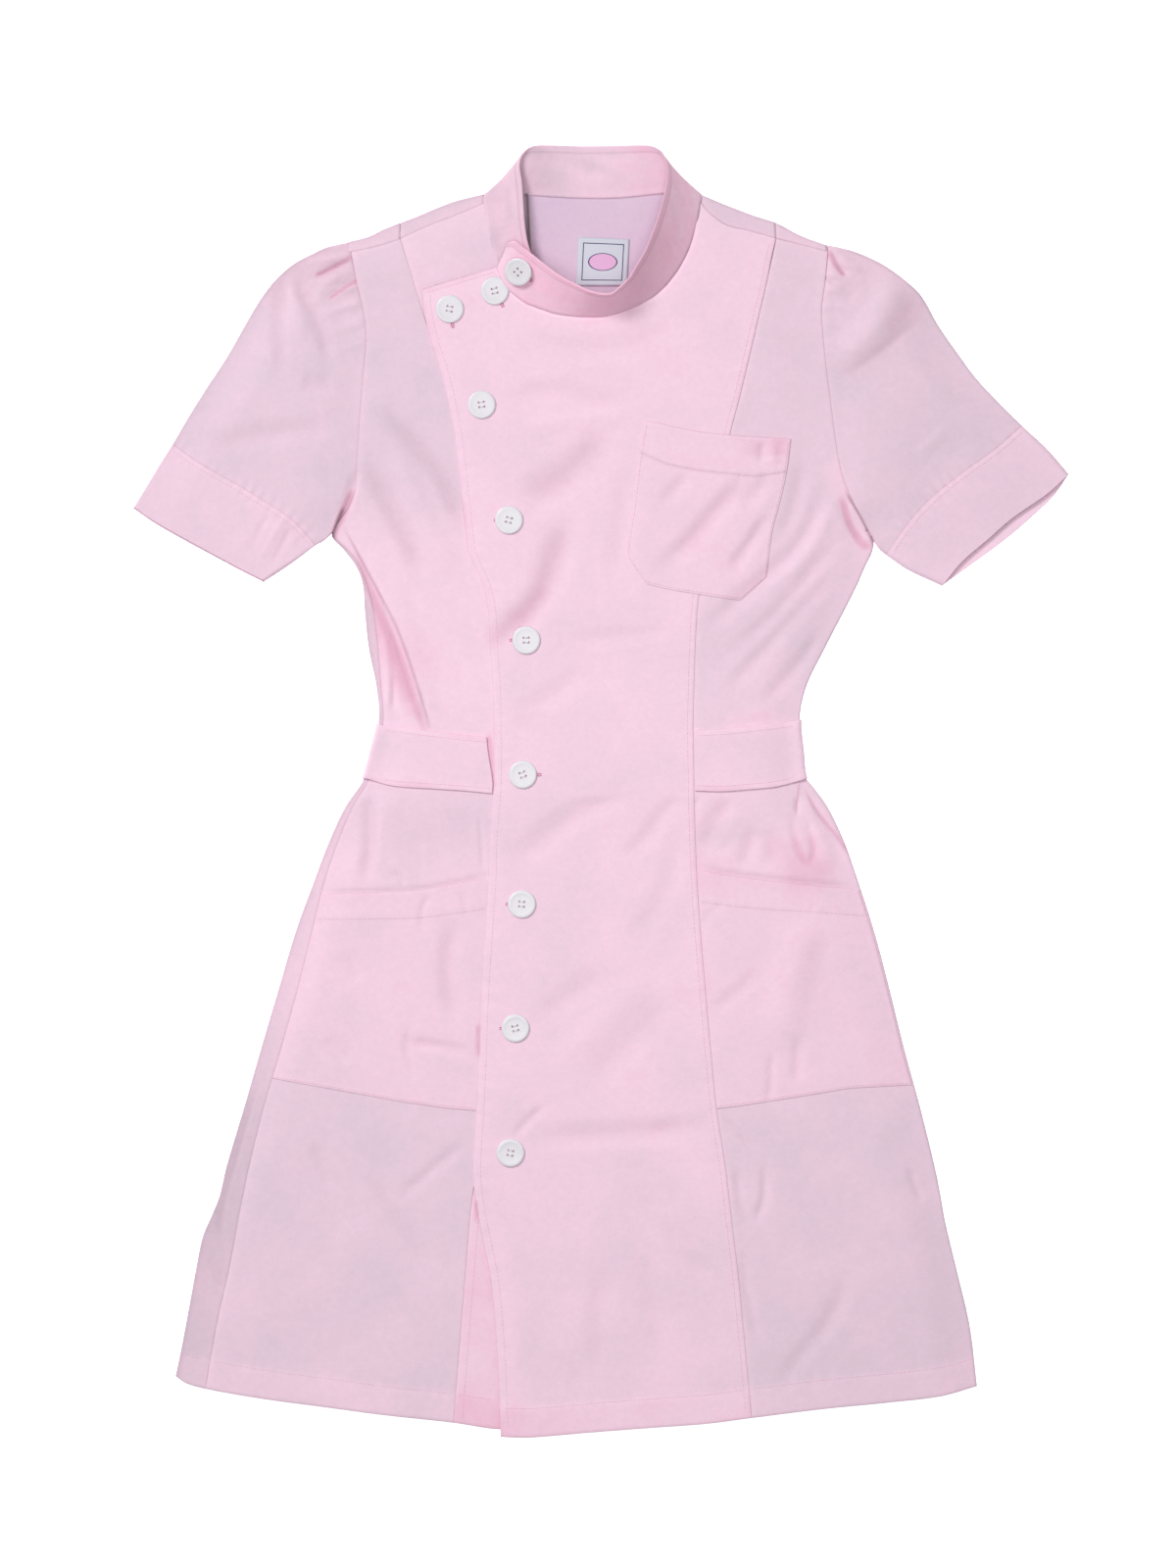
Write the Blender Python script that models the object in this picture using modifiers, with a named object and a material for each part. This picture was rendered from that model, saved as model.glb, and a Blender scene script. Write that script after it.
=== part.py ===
# Nurse uniform dress laid flat on its back: the front is up (+Z), the collar points to +Y,
# and left and right are as seen from above. The origin is under the middle of the dress.
# Sizes and places are in millimetres, and MM turns them into metres.

import math

import bmesh
import bpy
from mathutils import Vector
from mathutils.bvhtree import BVHTree

MM = 0.001

# Driving sizes
CLOTH = 1.2             # wall of one layer of cloth
SEAM_GAP = 0.3          # between two pieces that are sewn together or lie on each other
LAYER = CLOTH + SEAM_GAP
ROLL_RADIUS = 0.9       # middle of the wall, where the cloth turns over at a side or shoulder
QUARTER_TURN = ROLL_RADIUS * math.pi / 2
LOW = CLOTH / 2         # middle of the layer that lies on the surface
HIGH = LOW + 2 * ROLL_RADIUS
LOFT = 3.0              # how far the front stands off the back, away from the edges
LOFT_REACH = 45.0       # distance from the outline over which the loft grows
LOWEST_TROUGH = -0.1    # how far a trough may sink below the front's lowest level
UNDERLAP_REACH = 14.0   # from outside the flap's edge to where the underlap lies on the back
UNDERLAP_START = 4.0    # how far outside that edge it starts to sink
COLLAR_WALL = 1.5
COLLAR_SETBACK = 1.5    # from the neck edge of the panels to the band
CUFF_WALL = 1.6
BUTTON_PROFILE = ((9.3, 0.0), (10.0, 0.9), (9.7, 2.5), (8.3, 3.0), (6.9, 2.2))    # radius, height
BUTTON_HOLE_RADIUS = 1.0
BUTTON_HOLE_PLACE = 1.9  # of a hole's middle, both ways from the button's middle
BUTTON_SEGMENTS = 14
COLLAR_CLOSING_FROM = 26    # the stations of the end that lies on top
COLLAR_REST = 1.2       # of the top button above the face of the band
BUTTON_REST = 0.35      # above the highest cloth under it
UNDER_HEM = 2.0         # how much shorter the back is than the front above it
SIDE_TUCK = 8.0         # how far the right front turns under the edge
PIT = 184.0             # below this height the sides turn over at the outline
PIT_RUN = 10.0          # height over which they start to
PIT_SPREAD = 8.0        # height above it over which both layers reach out to the outline
ARMPIT_EASE = 0.8       # more room between pieces where they bend most
FLAT_RUN = 5.0          # width of the rows at an edge that doesn't turn over
WELD = 0.001
HALF_GAP = SEAM_GAP / 2
OVER_LAYER = LAYER + 0.4  # for cloth that lies on a panel without sharing its rows and columns
LABEL_WALL = 1.0

COLOURS = {             # linear base colours
    "twill": (0.86, 0.62, 0.71),
    "button": (0.80, 0.80, 0.82),
    "label": (0.66, 0.66, 0.72),
}

# Across the body at each height y: the outline, the left side seam, which lies on the front
# below the arm, both princess seams and the edge of the flap.
BODY_COLUMNS = ("y", "side_left", "seam_left", "princess_left", "flap_edge", "princess_right", "side_right")
BODY_SECTIONS = (
    (412, -184.5, -184.5, -148.0, -132.0, 130.0, 162.5),
    (391, -181.2, -181.2, -142.3, -131.0, 124.6, 164.5),
    (366, -176.3, -176.3, -135.0, -129.6, 119.5, 161.8),
    (348, -172.0, -172.0, -129.5, -128.2, 115.2, 159.6),
    (327, -169.9, -169.9, -123.8, -123.5, 110.4, 161.0),
    (306, -171.6, -171.6, -117.1, -116.8, 105.4, 163.1),
    (286, -173.4, -173.4, -112.0, -111.7, 100.6, 165.7),
    (261, -175.2, -175.2, -107.0, -106.7, 94.0, 168.8),
    (235, -176.8, -176.8, -103.8, -103.5, 88.8, 173.1),
    (217, -178.4, -178.4, -101.8, -101.5, 85.3, 179.0),
    (204, -183.4, -183.4, -100.3, -100.0, 82.8, 185.0),
    (192, -192.0, -192.0, -99.0, -98.7, 80.4, 191.0),
    (184, -193.5, -193.5, -98.0, -97.7, 78.8, 196.0),
    (175, -186.5, -183.5, -97.1, -96.8, 77.1, 197.0),
    (163, -177.5, -174.5, -92.1, -91.8, 74.7, 191.6),
    (150, -172.7, -169.5, -86.3, -86.0, 72.2, 186.0),
    (132, -171.3, -164.9, -82.3, -82.0, 69.8, 177.0),
    (104, -168.4, -161.6, -80.7, -80.4, 68.2, 162.5),
    (76, -162.8, -159.4, -78.7, -78.4, 67.3, 148.9),
    (52, -161.0, -157.6, -78.3, -78.0, 66.7, 144.0),
    (28, -166.5, -162.5, -78.1, -77.8, 66.9, 145.8),
    (10, -171.5, -167.5, -78.0, -77.7, 67.2, 148.0),
    (4, -174.5, -170.3, -78.0, -77.7, 67.3, 153.0),
    (-12, -185.5, -180.0, -79.3, -79.0, 67.6, 164.5),
    (-38, -197.6, -191.0, -81.3, -81.0, 68.4, 176.8),
    (-66, -208.2, -200.5, -82.1, -81.8, 69.6, 186.6),
    (-101, -221.0, -209.3, -84.3, -84.0, 72.0, 197.9),
    (-144, -233.8, -220.0, -87.1, -86.8, 75.6, 209.3),
    (-187, -246.5, -231.9, -88.7, -88.4, 79.4, 219.9),
    (-229, -258.6, -244.3, -90.5, -90.2, 83.5, 231.3),
    (-272, -271.4, -254.9, -93.0, -92.7, 90.1, 241.9),
    (-293, -276.4, -259.3, -93.7, -91.0, 92.8, 246.2),
    (-307, -282.0, -262.3, -94.9, -88.2, 94.5, 248.6),
    (-322, -288.4, -264.9, -96.2, -84.8, 96.4, 252.0),
    (-343, -292.9, -269.0, -98.2, -79.8, 99.3, 257.2),
    (-385, -300.4, -278.5, -102.2, -75.2, 104.0, 267.0),
    (-430, -308.3, -286.3, -106.7, -72.6, 109.2, 272.5),
)
HEM_LEVEL = -430.0      # the table's last height, which the hem line then curves down from
HEM_START = -250.0      # below this height the rows bend towards the hem line
HEM_LINE = (            # x, y along the hem of the side fronts, the underlap and the wrapped back
    (-308.3, -423.5), (-301.0, -428.5), (-286.3, -432.6), (-243.7, -440.0), (-201.1, -445.7),
    (-158.5, -451.4), (-106.7, -457.1), (-76.9, -461.5), (-30.0, -463.5), (30.0, -460.9),
    (75.8, -457.8), (109.2, -453.5), (161.0, -447.1), (203.6, -442.9), (246.2, -437.9),
    (272.5, -430.8),
)
FLAP_HEM = (
    (-72.6, -467.3), (-52.0, -467.7), (-9.4, -464.2), (33.2, -460.9), (75.8, -457.8), (109.2, -453.5),
)

SHOULDER_FOLD_LEFT = (
    (-183.4, 397.8), (-168.4, 401.6), (-156.4, 407.4), (-135.1, 415.5), (-108.8, 426.2), (-84.7, 432.6),
)
SHOULDER_SEAM_LEFT = (
    (-181.0, 390.5), (-160.6, 394.9), (-145.7, 399.9), (-127.3, 408.4), (-108.8, 415.5), (-84.7, 425.5),
)
SHOULDER_FOLD_RIGHT = (
    (71.5, 432.6), (90.0, 424.8), (110.6, 416.9), (127.6, 411.3), (144.0, 402.7), (163.1, 395.5),
)
SHOULDER_SEAM_RIGHT = (
    (71.5, 427.6), (76.0, 420.6), (90.0, 409.8), (106.3, 405.6), (126.9, 399.9), (148.2, 394.9),
    (164.3, 390.7),
)
SHOULDER_STEPS_LEFT = (-145.5, -127.0, -108.0, -93.0)    # x of rows across each shoulder
SHOULDER_STEPS_RIGHT = (80.0, 86.0, 94.0, 104.0, 115.0, 126.9)
FLAP_CORNER = (-129.4, 363.0)
NECK_FRONT = (          # from the flap's slanted edge round the front to the right shoulder
    (-75.0, 379.5), (-66.9, 363.0), (-54.1, 353.0), (-35.0, 345.9), (-11.5, 343.1), (4.8, 343.8),
    (20.4, 348.8), (36.0, 356.6), (52.4, 372.2), (65.1, 395.6), (70.1, 416.9), (71.5, 427.6),
)
NECK_BACK = ((-84.0, 431.4), (-53.4, 431.0), (-19.3, 429.0), (12.6, 429.0), (43.8, 432.0), (71.0, 432.0))
UNDERLAP_EDGE = (       # y, x of the underlap's right edge: the neck, then its hidden inner edge
    (425.5, -84.7), (400.6, -79.7), (380.0, -74.7), (363.0, -66.9), (345.0, -63.0), (316.0, -61.5),
    (280.0, -60.0), (235.0, -52.0), (196.0, -46.0), (150.0, -38.0), (104.0, -34.0), (0.0, -33.0),
    (-80.0, -38.0), (-180.0, -43.0), (-272.0, -47.0), (-322.0, -42.0), (-385.0, -33.0), (-430.0, -31.0),
)
BACK_PRINCESS = (       # y, centre of the back, half the width of the centre back
    (400.0, -9.0, 136.0), (295.0, -9.0, 100.0), (183.0, -8.0, 79.0), (56.0, -8.0, 64.0), (-2.0, -8.0, 65.0),
    (-96.0, -11.0, 74.0), (-280.0, -14.0, 92.0), (-430.0, -18.0, 106.0),
)

# Sleeves: the outline from the shoulder and from the armpit to the band, the seam of the
# band, and the band's own outline and open edge, where the layer below can reach further.
SLEEVE_LEFT = {
    "side": "side_left",
    "upper": ((-197.6, 394.2), (-210.3, 388.5), (-223.1, 381.4), (-235.2, 370.8), (-245.8, 357.3),
              (-256.5, 339.6), (-270.7, 314.7), (-285.6, 292.0), (-297.7, 272.8), (-310.3, 251.3)),
    "lower": ((-200.5, 181.6), (-206.5, 178.2)),
    "armhole_y": (397.6, 388, 380, 372, 362.5, 353, 343.5, 334, 324, 314, 295, 275, 256, 237, 219, 204,
                  192, 188),
    "band_seam": ((-310.3, 251.3), (-291.3, 238.0), (-270.7, 226.0), (-250.1, 213.9), (-223.1, 196.0),
                  (-206.5, 178.2)),
    "band_upper": ((-310.3, 251.3), (-316.5, 241.6), (-339.6, 204.7)),
    "band_lower": ((-206.5, 178.2), (-223.1, 165.6), (-244.4, 151.4)),
    "band_edge": ((-339.6, 204.7), (-326.8, 196.1), (-306.2, 184.1), (-281.3, 170.6), (-260.0, 159.2),
                  (-244.4, 151.4)),
    "band_edge_below": ((-339.6, 204.7), (-326.8, 196.1), (-306.2, 184.1), (-281.3, 170.6),
                        (-260.0, 159.2), (-244.4, 151.4)),
}
SLEEVE_RIGHT = {
    "side": "side_right",
    "upper": ((179.5, 392.1), (194.4, 386.4), (206.4, 380.0), (219.2, 370.8), (231.3, 359.4),
              (244.1, 337.4), (256.8, 319.0), (271.0, 299.8), (286.0, 283.5), (305.0, 264.6)),
    "lower": ((201.5, 175.5), (206.5, 170.8)),
    "armhole_y": (395.5, 387, 379.5, 372, 362.5, 353, 343.5, 334, 324, 314, 295, 275, 256, 237, 219, 204,
                  192, 184),
    "band_seam": ((305.0, 264.6), (286.0, 248.0), (262.5, 230.9), (239.8, 212.6), (223.5, 195.0),
                  (206.5, 170.8)),
    "band_upper": ((305.0, 264.6), (322.9, 248.0), (339.6, 229.5)),
    "band_lower": ((206.5, 170.8), (222.0, 160.3), (246.9, 148.6)),
    "band_edge": ((339.6, 229.5), (324.3, 216.1), (298.0, 197.7), (281.7, 183.5), (260.4, 165.0),
                  (246.9, 148.6)),
    "band_edge_below": ((339.6, 229.5), (330.0, 216.0), (314.0, 200.5), (295.0, 184.0), (275.0, 169.0),
                        (246.9, 148.6)),
}
GATHERED = 9            # steps along the armhole, from the shoulder, at which the head is gathered
GATHER_HEIGHT = 1.6
GATHER_REACH = 0.3      # share of the sleeve's length
PUFF_HEIGHT = 2.5       # of the head, which stands off the layer below

# Round the collar from its hidden end to the rounded end on top: the neck seam, the band's
# free edge, and the heights of both, measured from the panel under the seam where it is marked.
# Columns: seam_x, seam_y, on, seam_z, edge_x, edge_y, edge_z
COLLAR_SECTIONS = (
    (-67.5, 364.5, "front", 0.0, -46.5, 379.0, 12.0),
    (-73.0, 377.0, "front", 0.0, -50.0, 388.0, 12.5),
    (-77.5, 391.0, "front", 0.0, -53.0, 397.5, 13.0),
    (-81.0, 406.0, "front", 0.0, -55.0, 411.0, 13.0),
    (-83.3, 417.0, "front", 0.0, -56.0, 426.0, 12.0),
    (-84.7, 426.0, "front", 0.3, -57.0, 441.0, 10.5),
    (-85.0, 430.5, "floor", 2.2, -58.5, 453.5, 9.0),
    (-82.0, 433.2, "floor", 1.2, -55.5, 462.6, 7.0),
    (-74.0, 433.0, "floor", 0.8, -49.5, 466.9, 5.0),
    (-53.4, 432.0, "floor", 0.8, -38.0, 467.7, 3.6),
    (-19.3, 430.0, "floor", 0.8, -14.0, 467.1, 3.0),
    (12.6, 430.0, "floor", 0.8, 9.0, 467.4, 3.0),
    (43.8, 433.0, "floor", 0.8, 28.5, 467.7, 3.6),
    (61.0, 433.8, "floor", 0.8, 37.0, 466.9, 5.0),
    (69.5, 434.0, "floor", 1.2, 42.5, 463.4, 7.0),
    (72.6, 431.0, "floor", 2.2, 46.2, 455.5, 9.0),
    (71.9, 424.5, "flap", 0.0, 47.4, 446.0, 10.5),
    (69.4, 411.3, "flap", 0.0, 45.6, 432.5, 13.5),
    (65.1, 395.6, "flap", 0.0, 41.7, 417.7, 16.5),
    (59.5, 383.0, "flap", 0.0, 36.7, 402.8, 20.0),
    (52.4, 372.2, "flap", 0.0, 31.0, 389.3, 23.5),
    (44.6, 363.3, "flap", 0.0, 25.4, 379.4, 26.5),
    (36.0, 356.6, "flap", 0.0, 20.4, 370.8, 29.5),
    (20.4, 348.8, "flap", 0.0, 12.2, 362.0, 32.5),
    (4.8, 343.8, "flap", 0.0, 5.5, 358.0, 33.5),
    (-11.5, 343.1, "flap", 0.2, -7.3, 360.1, 32.5),
    (-23.6, 343.8, "flap", 0.4, -19.3, 365.8, 30.0),
    (-35.0, 345.9, "flap", 0.6, -29.3, 371.5, 27.0),
    (-44.9, 349.5, "flap", 0.6, -37.8, 377.9, 24.0),
    (-54.1, 353.0, "flap", 0.6, -45.6, 384.3, 21.5),
    (-61.2, 358.0, "flap", 1.0, -52.7, 390.0, 20.0),
    (-66.9, 363.0, "flap", 1.6, -58.4, 394.3, 19.0),
    (-71.2, 369.4, "flap", 2.1, -62.7, 397.1, 18.0),
    (-75.4, 378.8, "flap", 2.1, -67.2, 395.7, 16.0),
)

# Belt: x, lower edge, upper edge, at the front left, across the back and at the front right
BELT_FRONT_LEFT = (
    (-78.0, -1.8, 38.5), (-100.0, 0.3, 40.5), (-119.5, 1.6, 42.8), (-151.4, 3.9, 47.0), (-170.0, 9.2, 49.2),
)
BELT_BACK = (
    (-170.0, 9.2, 49.2), (-80.0, 5.0, 47.0), (0.0, 4.0, 46.0), (80.0, 5.5, 48.0), (150.0, 9.2, 52.0),
)
BELT_FRONT_RIGHT = (
    (150.0, 9.2, 52.0), (126.9, 3.2, 49.2), (105.0, 1.0, 46.5), (88.6, -0.3, 44.9), (67.6, 0.2, 43.5),
)
BELT_LIFT_LOW = -2.0    # the cloth rises over the belt's back run between these heights
BELT_LIFT_HIGH = 56.0
BELT_LIFT_RAMP = 16.0

# Pockets
HIP_POCKET_TOP_LEFT = ((-203.0, -74.9), (-158.5, -73.2), (-130.8, -71.6), (-117.3, -69.4), (-82.5, -62.3))
HIP_POCKET_BOTTOM_LEFT = (
    (-238.9, -207.9), (-199.0, -215.0), (-144.3, -224.9), (-109.5, -229.9), (-90.9, -231.3),
)
HIP_POCKET_TOP_RIGHT = ((69.9, -56.6), (92.0, -61.0), (115.6, -64.4), (185.0, -71.5))
HIP_POCKET_BOTTOM_RIGHT = (
    (84.1, -229.9), (102.1, -227.7), (143.2, -221.3), (180.9, -215.0), (225.0, -212.8),
)
BREAST_POCKET_TOP = ((31.8, 268.3), (70.1, 260.0), (100.0, 256.9), (117.0, 255.8), (137.4, 255.0))
BREAST_POCKET_RIGHT = ((137.4, 255.0), (134.0, 228.8), (129.0, 207.0), (124.1, 188.3), (119.8, 155.0))
BREAST_POCKET_LEFT = ((31.8, 268.3), (27.5, 243.0), (23.3, 205.4), (19.4, 180.0), (19.0, 169.9))
BREAST_POCKET_BOTTOM = (
    (19.0, 169.9), (31.8, 150.0), (51.0, 145.4), (70.8, 142.2), (100.6, 137.9), (119.8, 155.0),
)
POCKET_MIDDLE_Y = 204.0  # of the breast pocket
POCKET_HALF = 62.0
LABEL_CORNERS = ((-18.2, 366.0), (19.0, 366.0), (20.8, 399.6), (-16.5, 401.3))    # from the lower left

BUTTONS = (             # x, y, on which layer
    (-57.5, 374.0, "collar"),
    (-77.7, 361.3, "flap"),
    (-109.5, 348.8, "flap"),
    (-86.4, 279.6, "flap"),
    (-66.6, 196.1, "flap"),
    (-54.1, 109.2, "flap"),
    (-56.6, 11.9, "flap"),
    (-57.3, -81.8, "flap"),
    (-61.9, -171.6, "flap"),
    (-65.5, -261.8, "flap"),
)

# Soft folds of the front and sleeves: width each side, height (troughs are negative), route
FOLDS = (
    (13.0, -2.9, ((-166.0, 152.0), (-152.0, 113.0), (-137.0, 79.0), (-124.0, 40.0))),   # left waist tuck
    (13.0, 2.6, ((-176.0, 186.0), (-158.0, 160.0), (-138.0, 118.0), (-123.0, 80.0), (-108.0, 40.0))),
    (9.0, 1.4, ((-166.0, 140.0), (-158.0, 100.0), (-153.0, 50.0))),
    (16.0, -2.2, ((-28.0, 170.0), (-42.0, 150.0), (-60.0, 130.0), (-82.0, 102.0))),      # across the flap
    (17.0, 1.6, ((-40.0, 190.0), (-62.0, 160.0), (-82.0, 140.0))),
    (18.0, -1.4, ((-20.0, 78.0), (-48.0, 61.0), (-76.0, 29.0))),
    (22.0, -1.5, ((0.0, -8.0), (-24.0, -21.0), (-48.0, -40.0), (-72.0, -48.0))),
    (22.0, -1.3, ((50.0, -12.0), (24.0, -42.0), (0.0, -60.0))),
    (26.0, -1.3, ((55.0, -82.0), (30.0, -110.0), (-5.0, -150.0))),
    (18.0, -1.6, ((165.0, 250.0), (160.0, 220.0), (148.0, 192.0), (134.0, 160.0))),       # right side
    (20.0, -2.0, ((180.0, 172.0), (152.0, 139.0), (125.0, 112.0), (92.0, 82.0))),
    (16.0, 1.6, ((176.0, 190.0), (140.0, 155.0), (108.0, 120.0))),
    (9.0, -2.6, ((141.0, 10.0), (139.0, -14.0), (146.0, -42.0), (149.0, -56.0))),         # below the belt
    (9.0, 2.0, ((148.0, 8.0), (160.0, -18.0), (178.0, -42.0))),
    (16.0, -1.5, ((-170.0, 238.0), (-156.0, 217.0), (-143.0, 198.0), (-131.0, 172.0))),   # left bodice
    (14.0, -1.2, ((-148.0, 264.0), (-131.0, 243.0), (-112.0, 220.0))),
    (20.0, -1.6, ((-220.0, 374.0), (-212.0, 340.0), (-200.0, 306.0))),                    # left sleeve
    (24.0, 3.0, ((-236.0, 364.0), (-236.0, 334.0), (-232.0, 300.0))),
    (20.0, -1.2, ((-296.0, 254.0), (-240.0, 250.0), (-178.0, 262.0))),
    (15.0, -2.4, ((166.0, 294.0), (184.0, 310.0), (198.0, 324.0), (205.0, 340.0), (213.0, 368.0))),  # right
    (20.0, 3.0, ((170.0, 282.0), (200.0, 306.0), (236.0, 338.0))),
    (24.0, 3.0, ((188.0, 372.0), (192.0, 350.0), (186.0, 330.0))),
    (30.0, -1.4, ((-10.0, -322.0), (-8.0, -370.0), (-12.0, -425.0))),                     # skirt front
    (28.0, -1.3, ((32.0, -318.0), (30.0, -370.0), (26.0, -425.0))),
    (24.0, -1.2, ((94.0, -262.0), (106.0, -305.0), (118.0, -275.0))),
    (26.0, -1.4, ((146.0, -400.0), (168.0, -370.0), (184.0, -350.0))),
    (24.0, -1.2, ((-58.0, 322.0), (-10.0, 309.0), (20.0, 312.0))),                        # under the collar
)


# ---------------------------------------------------------------- curves and heights

def hermite(before, start, end, after, span_before, span, span_after, share):
    """Smooth value between two knots, with slopes taken from their neighbours."""
    slope_start = (end - before) / (span_before + span) * span
    slope_end = (after - start) / (span + span_after) * span
    square = share * share
    cube = square * share
    return (start * (2 * cube - 3 * square + 1) + slope_start * (cube - 2 * square + share)
            + end * (3 * square - 2 * cube) + slope_end * (cube - square))


def value_at(knots, position):
    """Value of a smooth curve through (position, value) knots, in either order."""
    rows = knots if knots[0][0] < knots[-1][0] else knots[::-1]
    index = 0
    while index < len(rows) - 2 and position > rows[index + 1][0]:
        index += 1
    start, end = rows[index], rows[index + 1]
    before = rows[max(index - 1, 0)]
    after = rows[min(index + 2, len(rows) - 1)]
    span = end[0] - start[0]
    share = min(max((position - start[0]) / span, 0.0), 1.0)
    return hermite(before[1], start[1], end[1], after[1],
                   start[0] - before[0], span, after[0] - end[0], share)


def body_column(name):
    """(y, x) knots of one seam or outline of the body."""
    column = BODY_COLUMNS.index(name)
    return tuple((row[0], row[column]) for row in BODY_SECTIONS)


EDGES = {name: body_column(name) for name in BODY_COLUMNS[1:]}
EDGES["underlap_edge"] = UNDERLAP_EDGE


def edge_x(name, y):
    return value_at(EDGES[name], y)


def back_seam_x(side, y):
    """The straight runs of a back princess seam: side is -1 on the left and 1 on the right."""
    index = 0
    while index < len(BACK_PRINCESS) - 2 and y < BACK_PRINCESS[index + 1][0]:
        index += 1
    start, end = BACK_PRINCESS[index], BACK_PRINCESS[index + 1]
    share = (start[0] - y) / (start[0] - end[0])
    return start[1] + (end[1] - start[1]) * share + side * (start[2] + (end[2] - start[2]) * share)


def along(points, share):
    """Point at a share of the length of a smooth open curve through 2D points."""
    lengths = [0.0]
    for start, end in zip(points, points[1:]):
        lengths.append(lengths[-1] + math.dist(start, end))
    goal = share * lengths[-1]
    knots_x = tuple((length, point[0]) for length, point in zip(lengths, points))
    knots_y = tuple((length, point[1]) for length, point in zip(lengths, points))
    return Vector((value_at(knots_x, goal), value_at(knots_y, goal)))


def between(start, end, share):
    return start + (end - start) * share


def smooth_step(value):
    value = min(max(value, 0.0), 1.0)
    return value * value * (3 - 2 * value)


def nearest_on(route, x, y):
    """Distance from a point to a route, and the share of the route's length there."""
    best = (1e9, 0.0)
    total = sum(math.dist(start, end) for start, end in zip(route, route[1:]))
    walked = 0.0
    for start, end in zip(route, route[1:]):
        step_x, step_y = end[0] - start[0], end[1] - start[1]
        length = math.hypot(step_x, step_y)
        share = ((x - start[0]) * step_x + (y - start[1]) * step_y) / (length * length)
        share = min(max(share, 0.0), 1.0)
        distance = math.hypot(x - start[0] - share * step_x, y - start[1] - share * step_y)
        if distance < best[0]:
            best = (distance, (walked + share * length) / total)
        walked += length
    return best


SILHOUETTE = (
    SHOULDER_FOLD_LEFT,
    SLEEVE_LEFT["upper"] + SLEEVE_LEFT["band_upper"][1:],
    SLEEVE_LEFT["lower"] + SLEEVE_LEFT["band_lower"][1:],
    tuple((row[1], row[0]) for row in BODY_SECTIONS[12:]),
    tuple((row[6], row[0]) for row in BODY_SECTIONS[12:]),
    SHOULDER_FOLD_RIGHT,
    SLEEVE_RIGHT["upper"] + SLEEVE_RIGHT["band_upper"][1:],
    SLEEVE_RIGHT["lower"] + SLEEVE_RIGHT["band_lower"][1:],
)


def edge_share(x, y):
    """0 at the outline of the dress, 1 well inside it."""
    distance = min(nearest_on(line, x, y)[0] for line in SILHOUETTE)
    return smooth_step(distance / LOFT_REACH)


def fold_height(x, y):
    """Sum of the soft folds at a place."""
    height = 0.0
    for width, rise, route in FOLDS:
        distance, share = nearest_on(route, x, y)
        if distance < width:
            fade = smooth_step(min(share, 1 - share) / 0.2 + 0.25)
            height += rise * fade * (1 + math.cos(math.pi * distance / width)) / 2
    return height


def belt_lift(y):
    """Every layer rises over the belt where it runs under the back."""
    from_low = smooth_step((y - BELT_LIFT_LOW + BELT_LIFT_RAMP) / BELT_LIFT_RAMP)
    from_high = smooth_step((BELT_LIFT_HIGH + BELT_LIFT_RAMP - y) / BELT_LIFT_RAMP)
    return LAYER * from_low * from_high


def calm(x, y):
    """Folds die away under the belt and the breast pocket: 0 there, 1 clear of them."""
    off_belt = smooth_step(max(BELT_LIFT_LOW - y, y - BELT_LIFT_HIGH) / BELT_LIFT_RAMP)
    if abs(x) > abs(edge_x("side_left", y)) + LAYER:
        off_belt = 1.0
    pocket_middle = (BREAST_POCKET_TOP[0][0] + BREAST_POCKET_TOP[-1][0]) / 2
    reach = math.hypot((x - pocket_middle) / 1.1, (y - POCKET_MIDDLE_Y) / 1.15) - POCKET_HALF
    return min(off_belt, smooth_step(reach / BELT_LIFT_RAMP))


def front_height(x, y):
    """Middle of the lower front layer: the side fronts, the underlap and the sleeves."""
    inside = edge_share(x, y)
    lift = inside * LOFT + fold_height(x, y) * min(1.0, 1.6 * inside) * calm(x, y)
    return HIGH + max(lift, LOWEST_TROUGH) + belt_lift(y)


def flap_height(x, y):
    """Middle of the flap, and of the right side front, which comes down to the outline."""
    seam = edge_x("princess_right", y)
    side = edge_x("side_right", y)
    outward = smooth_step((x - seam) / (side - seam - 4.0)) if x > seam else 0.0
    return front_height(x, y) + LAYER * (1 - outward)


def under_flap(x, y):
    """How far a place lies inside the flap's edges, negative outside them."""
    corner_x, corner_y = FLAP_CORNER
    top_x, top_y = NECK_FRONT[0]
    run, climb = top_x - corner_x, top_y - corner_y
    below = ((x - corner_x) * climb - (y - corner_y) * run) / math.hypot(run, climb)
    beside = x - edge_x("flap_edge", y)
    return min(below, beside)


def underlap_height(x, y):
    """The underlap leaves the front's level under the flap and lies down on the back."""
    sunk = smooth_step((under_flap(x, y) + UNDERLAP_START) / UNDERLAP_REACH)
    return front_height(x, y) * (1 - sunk) + (HIGH + belt_lift(y)) * sunk


def back_height(y):
    return LOW + belt_lift(y)


def hem_drop(x):
    return value_at(HEM_LINE, x) - HEM_LEVEL


def row_down(y):
    """Share of the hem line's curve that a row at this height takes on."""
    share = min(max((HEM_START - y) / (HEM_START - HEM_LEVEL), 0.0), 1.0)
    return share * share


def body_point(x, y):
    """Place in the table turned into a place on the dress, where rows curve with the hem."""
    return Vector((x, y + row_down(y) * hem_drop(x)))


def around_edge(edge, inward, travel, low, high):
    """Point on cloth that turns over at an edge. Travel is measured along the cloth from the
    middle of the turn: negative on the lower layer, positive on the upper one."""
    radius = (high - low) / 2
    quarter = radius * math.pi / 2
    if abs(travel) < quarter:
        angle = travel / radius
        inset = radius * (1 - math.cos(angle))
        height = low + radius * (1 + math.sin(angle))
    else:
        inset = radius + abs(travel) - quarter
        height = high if travel > 0 else low
    place = edge + inward * (inset + CLOTH / 2)
    return Vector((place.x, place.y, height))


TURN_STEPS = 6


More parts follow.
